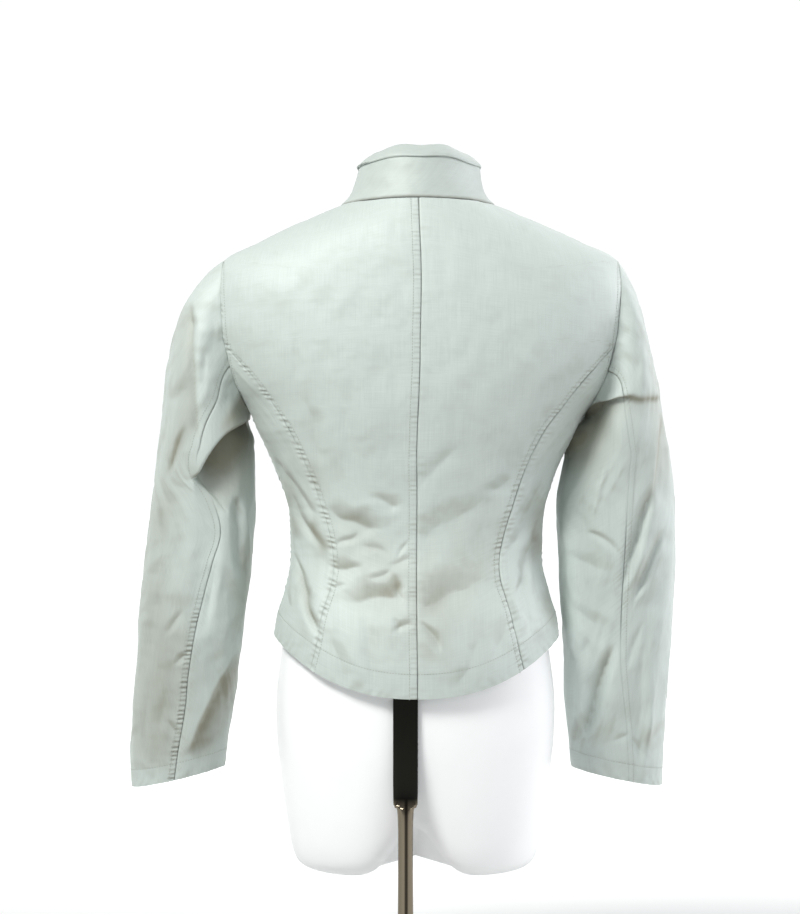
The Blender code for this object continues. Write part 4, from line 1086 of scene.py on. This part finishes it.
def seamShown(side, height):
    # how much of the back seam shows at a height
    s = backSeam
    if side == left:
        return 1 - np.exp(-((height - s["lip"]) / s["lipHalf"]) ** 4)
    middle = smooth((height - s["low"]) / s["lowFade"]) * smooth((s["high"] - height) / s["highFade"])
    return s["faint"] + (1 - s["faint"]) * (middle + smooth((height - s["cap"]) / s["capFade"]))


def backShare(panel, turn=0.0):
    # 1 on the back of the sleeve, 0 on its front
    return 1 / (1 + np.exp((panel.normals[..., 1] - turn) * turnSharpness))


def makeSleeve(side, upper):
    upperSeam = f"sleeveBackUpper{sideNames[side].title()}"
    panel = Cloth(sleeveGrid(side, upper), -side)
    backEdge, frontEdge = (panel.fromStart, panel.fromEnd) if upper else (panel.fromEnd, panel.fromStart)
    height = panel.points[..., 2]
    panel.sew(upperSeam if upper else "sleeveBackUnder", backEdge, panel.along, seamShown(side, height))
    if upper and side == left:
        shown = np.clip((backSeam["ladderTop"] - height) / backSeam["ladderFade"], 0, 1)
        panel.sew("sleeveLadderLeft", backEdge, -height, shown)
    panel.sew("sleeveFront", frontEdge, panel.along)
    panel.sew("armholeSleeve", panel.fromFirst, panel.across)
    panel.sew("cuffEdge", panel.fromLast, panel.across)
    behind, settle = backShare(panel), np.clip(panel.fromFirst / heldNear, 0, 1)
    panel.crease(sleeveSags[side], behind * settle, creaseFacing["fold"], sleeveStray, sleeveLaps[side])
    panel.crease(sleeveRecess[side], behind * settle, creaseFacing["recess"], 0.0)
    panel.crease(sleeveBulge[side], settle, 0.0, 0.0)
    panel.darken(sleeveShade[side], behind, sleeveStray)
    if side == left:
        panel.darken(lipShade, backShare(panel, lipTurn), sleeveStray)
    panel.crease(elbowSags[side], (1 - behind) * settle, creaseFacing["elbow"])
    panel.soften(sleeveSizes, side)
    panel.finish()
    if upper:
        stitch(panel, stitchAt(upperSeam), panel.fromStart)
    stitch(panel, stitchAt("cuffEdge"), panel.fromLast, down=True)
    return panel


for upper, part in ((True, "upper"), (False, "under")):
    for side in (left, right):
        addCloth(f"sleeve_{part}_{sideNames[side]}", makeSleeve(side, upper), side == right, "hung")
print("sleeves set in")

# collar

collarStand = SizeTable(ringColumns, [
    (0.8531, 0.8552, 0.8069, 0.0818, 0.0798, 0.0606, 2.0, 0.0030),
    (0.8640, 0.8700, 0.8200, 0.0720, 0.0755, 0.0575, 2.0, 0.0030),
    (0.8790, 0.8860, 0.8345, 0.0665, 0.0710, 0.0550, 2.0, 0.0035),
    (0.8940, 0.9000, 0.8480, 0.0635, 0.0680, 0.0530, 2.0, 0.0040),
])
collarLeaf = SizeTable(ringColumns, [
    (0.8932, 0.8992, 0.8472, 0.0634, 0.0679, 0.0529, 2.0, 0.0040),
    (0.8920, 0.8980, 0.8460, 0.0648, 0.0694, 0.0543, 2.0, 0.0040),  # its lower edge rolls over the stand's seam
    (0.8938, 0.8998, 0.8478, 0.0652, 0.0698, 0.0547, 2.0, 0.0040),
    (0.8968, 0.9030, 0.8510, 0.0628, 0.0676, 0.0525, 2.0, 0.0042),
    (0.9014, 0.9076, 0.8560, 0.0575, 0.0625, 0.0478, 2.0, 0.0045),
    (0.9052, 0.9122, 0.8602, 0.0510, 0.0570, 0.0420, 2.0, 0.0050),
])
collarShape = dict(
    columns=260, standRows=30, leafRows=26, girth=0.36, frontGap=1.0, roll=0.5, rollWide=1.6,  # girth in metres
    ripple=0.5, ripplePeriod=46, edgeWave=1.2, edgePeriod=66, leafLift=0.3, seed=0.6, shade=0.06, dark=0.08,
)


def makeCollar(table, rows, isStand):
    s = collarShape
    turn = np.linspace(-math.pi / 2, angleAt(neck, s["frontGap"] * mm), s["columns"] // 2)
    grid = []
    for level in np.linspace(0, table.last, rows):
        levels = np.full(len(turn), level)
        lap = ringPoint(table, left, turn, levels)[::-1]
        grid.append(np.concatenate([lap, ringPoint(table, right, turn, levels)[1:]]))
    panel = Cloth(np.array(grid), right)
    share = panel.fromFirst / panel.along[-1:]
    around = s["girth"] * panel.across / panel.across[:, -1:]
    swing = 3 * share * (1 - share) if isStand else share  # the stand and the leaf stay together along their seam
    panel.relief += s["ripple"] * mm * swing * wiggle(around, s["ripplePeriod"] * mm, s["seed"])
    panel.relief += softWaves(panel.points[..., 0], panel.points[..., 2], s["seed"])
    if isStand:
        panel.sew("neckSeam", panel.fromFirst, panel.across)
        panel.relief -= s["roll"] * mm * np.exp(-(panel.fromLast / (s["rollWide"] * mm)) ** 2)
    # painted shade: the whole collar is painted a little darker
    panel.shade += s["shade"]
    panel.dark += s["dark"]
    panel.finish()
    lift = share ** 2 if isStand else 1 + s["leafLift"] * share ** 2
    panel.surface[..., 2] += s["edgeWave"] * mm * lift * wiggle(around, s["edgePeriod"] * mm, s["seed"] + 1)
    return panel


addCloth("collar_stand", makeCollar(collarStand, collarShape["standRows"], True), False, "stretched")
addCloth("collar_leaf", makeCollar(collarLeaf, collarShape["leafRows"], False), False, "stretched")
print("collar set on")

# topstitching, a stitch at each step along the stitch lines

stitchSizes = dict(step=2.9, length=2.0, thickness=0.38)  # millimetres


def stitchTree():
    tree = bpy.data.node_groups.new("topstitch", "GeometryNodeTree")
    face = tree.interface
    face.new_socket("Geometry", in_out="INPUT", socket_type="NodeSocketGeometry")
    for name in ("Step", "Length", "Thickness"):
        face.new_socket(name, in_out="INPUT", socket_type="NodeSocketFloat")
    face.new_socket("Thread", in_out="INPUT", socket_type="NodeSocketMaterial")
    face.new_socket("Geometry", in_out="OUTPUT", socket_type="NodeSocketGeometry")
    add = tree.nodes.new
    given, result = add("NodeGroupInput"), add("NodeGroupOutput")
    curve, points = add("GeometryNodeMeshToCurve"), add("GeometryNodeCurveToPoints")
    bead = add("GeometryNodeMeshIcoSphere")
    turn, place = add("FunctionNodeAlignRotationToVector"), add("GeometryNodeInstanceOnPoints")
    size, half = add("ShaderNodeCombineXYZ"), add("ShaderNodeMath")
    whole, paint = add("GeometryNodeRealizeInstances"), add("GeometryNodeSetMaterial")
    points.mode = "LENGTH"
    turn.axis = "Z"
    half.operation = "MULTIPLY"
    half.inputs[1].default_value = 0.5
    bead.inputs["Radius"].default_value = 1.0
    bead.inputs["Subdivisions"].default_value = 1
    for start, end in (
        (given.outputs["Geometry"], curve.inputs["Mesh"]), (curve.outputs["Curve"], points.inputs["Curve"]),
        (given.outputs["Step"], points.inputs["Length"]), (points.outputs["Tangent"], turn.inputs["Vector"]),
        (points.outputs["Points"], place.inputs["Points"]), (bead.outputs["Mesh"], place.inputs["Instance"]),
        (turn.outputs["Rotation"], place.inputs["Rotation"]), (given.outputs["Length"], half.inputs[0]),
        (given.outputs["Thickness"], size.inputs["X"]), (given.outputs["Thickness"], size.inputs["Y"]),
        (half.outputs[0], size.inputs["Z"]), (size.outputs[0], place.inputs["Scale"]),
        (place.outputs["Instances"], whole.inputs["Geometry"]), (whole.outputs["Geometry"], paint.inputs["Geometry"]),
        (given.outputs["Thread"], paint.inputs["Material"]), (paint.outputs["Geometry"], result.inputs["Geometry"]),
    ):
        tree.links.new(start, end)
    return tree


def makeStitches(lines):
    points, edges = [], []
    for line in lines:
        edges += [(len(points) + k, len(points) + k + 1) for k in range(len(line) - 1)]
        points += [tuple(point) for point in line]
    guide = bpy.data.meshes.new("stitchGuide")
    guide.from_pydata(points, edges, [])
    thing = addObject("topstitching", guide)
    tree = stitchTree()
    row = thing.modifiers.new("stitches", "NODES")
    row.node_group = tree
    wanted = dict(Step=stitchSizes["step"] * mm, Length=stitchSizes["length"] * mm,
                  Thickness=stitchSizes["thickness"] * mm, Thread=threadLook)
    for item in tree.interface.items_tree:
        if item.in_out == "INPUT" and item.name in wanted:
            row[item.identifier] = wanted[item.name]
    graph = bpy.context.evaluated_depsgraph_get()
    plain = bpy.data.meshes.new_from_object(thing.evaluated_get(graph))
    thing.modifiers.clear()
    thing.data = plain
    plain.shade_smooth()
    return thing


stitching = makeStitches(stitchLines)
print("topstitching:", len(stitching.data.polygons), "faces")

# buttons

buttonSizes = dict(
    steps=40, heights=(0.430, 0.515, 0.600, 0.685, 0.765), radius=0.009, standOff=0.0029,
    holeRing=0.0026, threadAt=0.0021, threadBeads=9, threadSteps=8,
)
buttonProfile = [
    (0.0, 0.0020), (0.0040, 0.0019), (0.0056, 0.0020), (0.0063, 0.0026), (0.0072, 0.0029), (0.0081, 0.0027),
    (0.0088, 0.0021), (0.0090, 0.0013), (0.0087, 0.0005), (0.0080, 0.0), (0.0, 0.0),
]
threadProfile = [(0.0, 0.0004), (0.0003, 0.0), (0.0, -0.0004)]


def turnedShape(profile, steps):
    # points and faces of a profile turned about the upright axis
    points, faces, rings = [], [], []
    for radius, z in profile:
        count = steps if radius else 1
        rings.append([len(points) + k % count for k in range(steps)])
        turns = [2 * math.pi * k / steps for k in range(count)]
        points += [(radius * math.cos(turn), radius * math.sin(turn), z) for turn in turns]
    for high, low in zip(rings, rings[1:]):
        for k in range(steps):
            corners = high[k], low[k], low[(k + 1) % steps], high[(k + 1) % steps]
            faces.append(list(dict.fromkeys(corners)))
    return np.array(points), faces


def sewnButton():
    # a button and two crossed threads over its four holes: points, faces and each face's material
    s = buttonSizes
    disc, faces = turnedShape(buttonProfile, s["steps"])
    bead, beadFaces = turnedShape(threadProfile, s["threadSteps"])
    shapes, kinds, count = [disc], [0] * len(faces), len(disc)
    for slant in (math.pi / 4, -math.pi / 4):
        for run in np.linspace(-1, 1, s["threadBeads"]) * s["holeRing"]:
            shapes.append(bead + [math.cos(slant) * run, math.sin(slant) * run, s["threadAt"]])
            faces += [[count + corner for corner in face] for face in beadFaces]
            kinds += [1] * len(beadFaces)
            count += len(bead)
    return np.concatenate(shapes), faces, kinds


def makeButtons():
    points, faces, kinds = sewnButton()
    levels = np.linspace(0, neck, fineCount["front"])
    heights, depths, shifts = (bodyRings.at(name, levels) for name in ("zFront", "front", "shift"))
    radius = buttonSizes["radius"]
    for number, height in enumerate(buttonSizes["heights"], start=1):
        below, above = np.interp([height - radius, height + radius], heights, depths)
        tilt = -math.pi / 2 - math.atan((above - below) / (2 * radius))
        spin = np.array([[1, 0, 0], [0, math.cos(tilt), -math.sin(tilt)], [0, math.sin(tilt), math.cos(tilt)]])
        depth = np.interp(height, heights, depths) + buttonSizes["standOff"]
        place = np.array([np.interp(height, heights, shifts), depth, height])
        thing = meshObject(f"button_{number}_sewn", points @ spin.T + place, faces, buttonLook, threadLook)
        thing.data.polygons.foreach_set("material_index", kinds)
        pieces[f"button_{number}"] = (thing, None, None)


makeButtons()
print("buttons sewn on")

# form and stand

formHips = [  # height, half width, back, front, squareness
    (0.158, 0.060, 0.042, 0.038, 2.4),
    (0.160, 0.100, 0.070, 0.062, 2.4),
    (0.167, 0.120, 0.088, 0.078, 2.4),
    (0.182, 0.1285, 0.098, 0.087, 2.4),
    (0.215, 0.1345, 0.106, 0.093, 2.4),
    (0.255, 0.1400, 0.112, 0.098, 2.4),
    (0.300, 0.1450, 0.1165, 0.101, 2.4),
    (0.340, 0.1455, 0.1175, 0.102, 2.4),
    (0.380, 0.1410, 0.1150, 0.102, 2.4),
    (0.420, 0.1340, 0.1070, 0.099, 2.3),
    (0.460, 0.1245, 0.0910, 0.094, 2.3),
]
formEaseFrom = 4
formEase = SizeTable("side back front drop", [
    (0.008, 0.009, 0.008, 0.0),
    (0.0075, 0.008, 0.008, 0.0),
    (0.007, 0.007, 0.008, 0.0),
    (0.006, 0.006, 0.008, 0.0),
    (0.006, 0.006, 0.008, 0.0),
    (0.006, 0.006, 0.007, 0.0),
    (0.006, 0.006, 0.007, 0.0010),
    (0.007, 0.006, 0.008, 0.0015),
    (0.008, 0.006, 0.009, 0.0020),
    (0.005, 0.007, 0.009, 0.0022),
    (0.000, 0.007, 0.007, 0.0022),
    (0.000, 0.007, 0.007, 0.0022),
    (0.000, 0.007, 0.007, 0.0024),
    (0.006, 0.008, 0.008, 0.0030),
])
formNeck = [
    (0.868, 0.866, 0.829, 0.0590, 0.0580, 0.0460, 2.0, 0.003),
    (0.880, 0.878, 0.845, 0.0520, 0.0520, 0.0380, 2.0, 0.003),
    (0.8835, 0.8825, 0.852, 0.0450, 0.0450, 0.0320, 2.0, 0.003),
    (0.885, 0.8845, 0.862, 0.0230, 0.0230, 0.0160, 2.0, 0.003),
]
formShape = dict(columns=144, rowsPerRing=5, arch=0.052, archHalfWidth=0.030, bottom=0.158, archTop=0.300)
tubeRings = SizeTable("z halfX halfY squareness", [
    (0.0106, 0.0078, 0.0078, 2.0),
    (0.120, 0.0078, 0.0078, 2.0),
    (0.226, 0.0078, 0.0078, 2.0),
    (0.240, 0.0112, 0.0058, 2.4),
    (0.250, 0.0124, 0.0036, 3.4),
    (0.316, 0.0125, 0.0033, 4.0),
    (0.382, 0.0125, 0.0033, 4.0),
])
tubePlace = dict(x=-0.0105, y=-0.1213, sides=48, rowsPerRing=8)
baseProfile = [
    (0.0, 0.0110), (0.060, 0.0108), (0.1400, 0.0102), (0.1480, 0.0099), (0.1540, 0.0089), (0.1580, 0.0070),
    (0.1600, 0.0045), (0.1597, 0.0018), (0.1590, 0.0), (0.0, 0.0),
]
baseSteps = 128


def loftMesh(name, rings, material):
    count = len(rings[0])
    points = np.concatenate(rings)
    faces = []
    for row in range(len(rings) - 1):
        low, high = row * count, (row + 1) * count
        faces += [(low + k, low + (k + 1) % count, high + (k + 1) % count, high + k) for k in range(count)]
    bottom, top = len(points), len(points) + 1
    last = (len(rings) - 1) * count
    faces += [(bottom, (k + 1) % count, k) for k in range(count)]
    faces += [(top, last + k, last + (k + 1) % count) for k in range(count)]
    points = np.concatenate([points, [rings[0].mean(axis=0)], [rings[-1].mean(axis=0)]])
    return meshObject(name, points, faces, material)


def makeForm():
    rows = [(z, z, z, *sizes, 0.0) for z, *sizes in formHips]
    for level in range(formEaseFrom, neck + 1):
        ease = {name: formEase.at(name, level - formEaseFrom) for name in formEase.columns}
        body = {name: bodyRings.at(name, level) for name in bodyRings.columns}
        heights = [body[name] - ease["drop"] for name in ("zSide", "zBack", "zFront")]
        widths = [body["halfWidth"] - ease["side"], body["back"] - ease["back"], body["front"] - ease["front"]]
        rows.append(heights + widths + [body["squareness"], body["shift"]])
    table = SizeTable(ringColumns, rows + formNeck)
    turn = np.linspace(-math.pi, math.pi, formShape["columns"], endpoint=False)
    rings = []
    for level in np.linspace(0, table.last, table.last * formShape["rowsPerRing"] + 1):
        ring = ringPoint(table, right, turn, np.full(len(turn), level))
        low = np.clip((formShape["archTop"] - ring[:, 2]) / (formShape["archTop"] - formShape["bottom"]), 0, 1)
        ring[:, 2] += formShape["arch"] * low * np.exp(-(ring[:, 0] / formShape["archHalfWidth"]) ** 2)
        rings.append(ring)
    return loftMesh("form_torso_smooth", rings, formLook)


def makeTube():
    turn = np.linspace(0, 2 * math.pi, tubePlace["sides"], endpoint=False)
    cosine, sine = np.cos(turn), np.sin(turn)
    rings = []
    for row in np.linspace(0, tubeRings.last, tubeRings.last * tubePlace["rowsPerRing"] + 1):
        z, halfX, halfY, power = (tubeRings.at(name, row) for name in ("z", "halfX", "halfY", "squareness"))
        x = tubePlace["x"] + halfX * np.sign(cosine) * np.abs(cosine) ** (2 / power)
        y = tubePlace["y"] + halfY * np.sign(sine) * np.abs(sine) ** (2 / power)
        rings.append(np.stack([x, y, np.full(len(turn), z)], axis=-1))
    return loftMesh("stand_tube_polished", rings, tubeLook)


form, tube = makeForm(), makeTube()
base = meshObject("stand_base_polished", *turnedShape(baseProfile, baseSteps), baseLook)
for name, thing in (("form_torso", form), ("stand_tube", tube), ("stand_base", base)):
    pieces[name] = (thing, None, None)
print("form and stand built")

# each piece hangs from the root and hides the CAD part it stands for; the cloth's flat sizes are printed

for name, (thing, panel, held) in pieces.items():
    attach(thing, "root")
    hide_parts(name)
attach(stitching, "root")
for name, (thing, panel, held) in pieces.items():
    if panel is not None:
        width, length, area = panel.flatSize()
        print("flat", name, round(width, 3), round(length, 3), round(area, 4))

# floor, light and camera

# a white backdrop and a dim room before it
studio = dict(
    white=1.04, dark=0.30, whiteFrom=0.1, whiteTo=0.7, sky=(0.985, 0.995, 1.0, 1),
    floor=40, floorGlow=0.76, glowFrom=0.2, glowTo=1.5, floorTones=((0.71, 0.72, 0.715, 1), (0.73, 0.74, 0.735, 1)),
)


def floorMaterial():
    # pale floor that brightens into the backdrop
    material, start, feed = newMaterial("paleFloor", {"Roughness": 0.75, "Emission Strength": studio["floorGlow"]})
    place = start.node("ShaderNodeTexCoord", None, None, 3)
    grain = start.node("ShaderNodeTexNoise", None, {"Vector": place, "Scale": 3.0, "Detail": 3.0})
    feed("Base Color", grain.mix(*studio["floorTones"]))
    split = start.node("ShaderNodeSeparateXYZ", None, {0: place}, 1)
    glow = start.node("ShaderNodeMapRange", {"interpolation_type": "SMOOTHSTEP"}, {
        "Value": split, "From Min": studio["glowFrom"], "From Max": studio["glowTo"]})
    feed("Emission Color", glow.mix((0, 0, 0, 1), (1, 1, 1, 1)))
    return material


reach = studio["floor"]
floorCorners = [(-reach, -reach, 0), (reach, -reach, 0), (reach, reach, 0), (-reach, reach, 0)]
floor = meshObject("floor", floorCorners, [(0, 1, 2, 3)], floorMaterial())

world = bpy.data.worlds.new("studio")
world.use_nodes = True
sky = world.node_tree.nodes["Background"]
sky.inputs["Color"].default_value = studio["sky"]
start = Wire(world.node_tree, sky.outputs[0])
way = start.node("ShaderNodeTexCoord", None, None, 0)
behind = start.node("ShaderNodeSeparateXYZ", None, {0: way}, 1)
backdrop = start.node("ShaderNodeMapRange", {"interpolation_type": "SMOOTHSTEP"}, {
    "Value": behind, "From Min": studio["whiteFrom"], "From Max": studio["whiteTo"]})
strength = studio["dark"] + backdrop * (studio["white"] - studio["dark"])
world.node_tree.links.new(strength.socket, sky.inputs["Strength"])
bpy.context.scene.world = world
lamps = [  # name, place, aim, size, watts, colour
    ("key", (-1.30, -1.60, 2.55), (0, 0, 0.70), 0.9, 77, (1.0, 1.0, 0.972)),
    ("fill", (2.5, -1.5, 1.2), (0, 0, 0.55), 1.6, 15, (0.985, 0.955, 1.0)),
    ("rim", (1.9, 0.4, 1.3), (0.2, 0, 0.55), 0.8, 24, (0.98, 0.97, 1.0)),
]
for name, place, aim, size, watts, colour in lamps:
    light = bpy.data.lights.new(name, "AREA")
    light.size, light.energy, light.color = size, watts, colour
    lamp = addObject(name, light)
    way = np.array(aim, float) - np.array(place, float)
    lamp.location = place
    lamp.rotation_euler = (math.atan2(math.hypot(way[0], way[1]), -way[2]), 0, math.atan2(way[0], -way[1]) + math.pi)

cameraView = dict(place=(-0.016, -2.6, 0.590), frameHeight=0.9597, distance=2.6, sensor=36.0)
lens = bpy.data.cameras.new("photo")
lens.sensor_width = cameraView["sensor"]
lens.lens = cameraView["sensor"] * cameraView["distance"] / cameraView["frameHeight"]
camera = addObject("photo", lens)
camera.location = cameraView["place"]
camera.rotation_euler = (math.pi / 2, 0, 0)
bpy.context.scene.camera = camera
bpy.context.scene.view_settings.view_transform = "Standard"
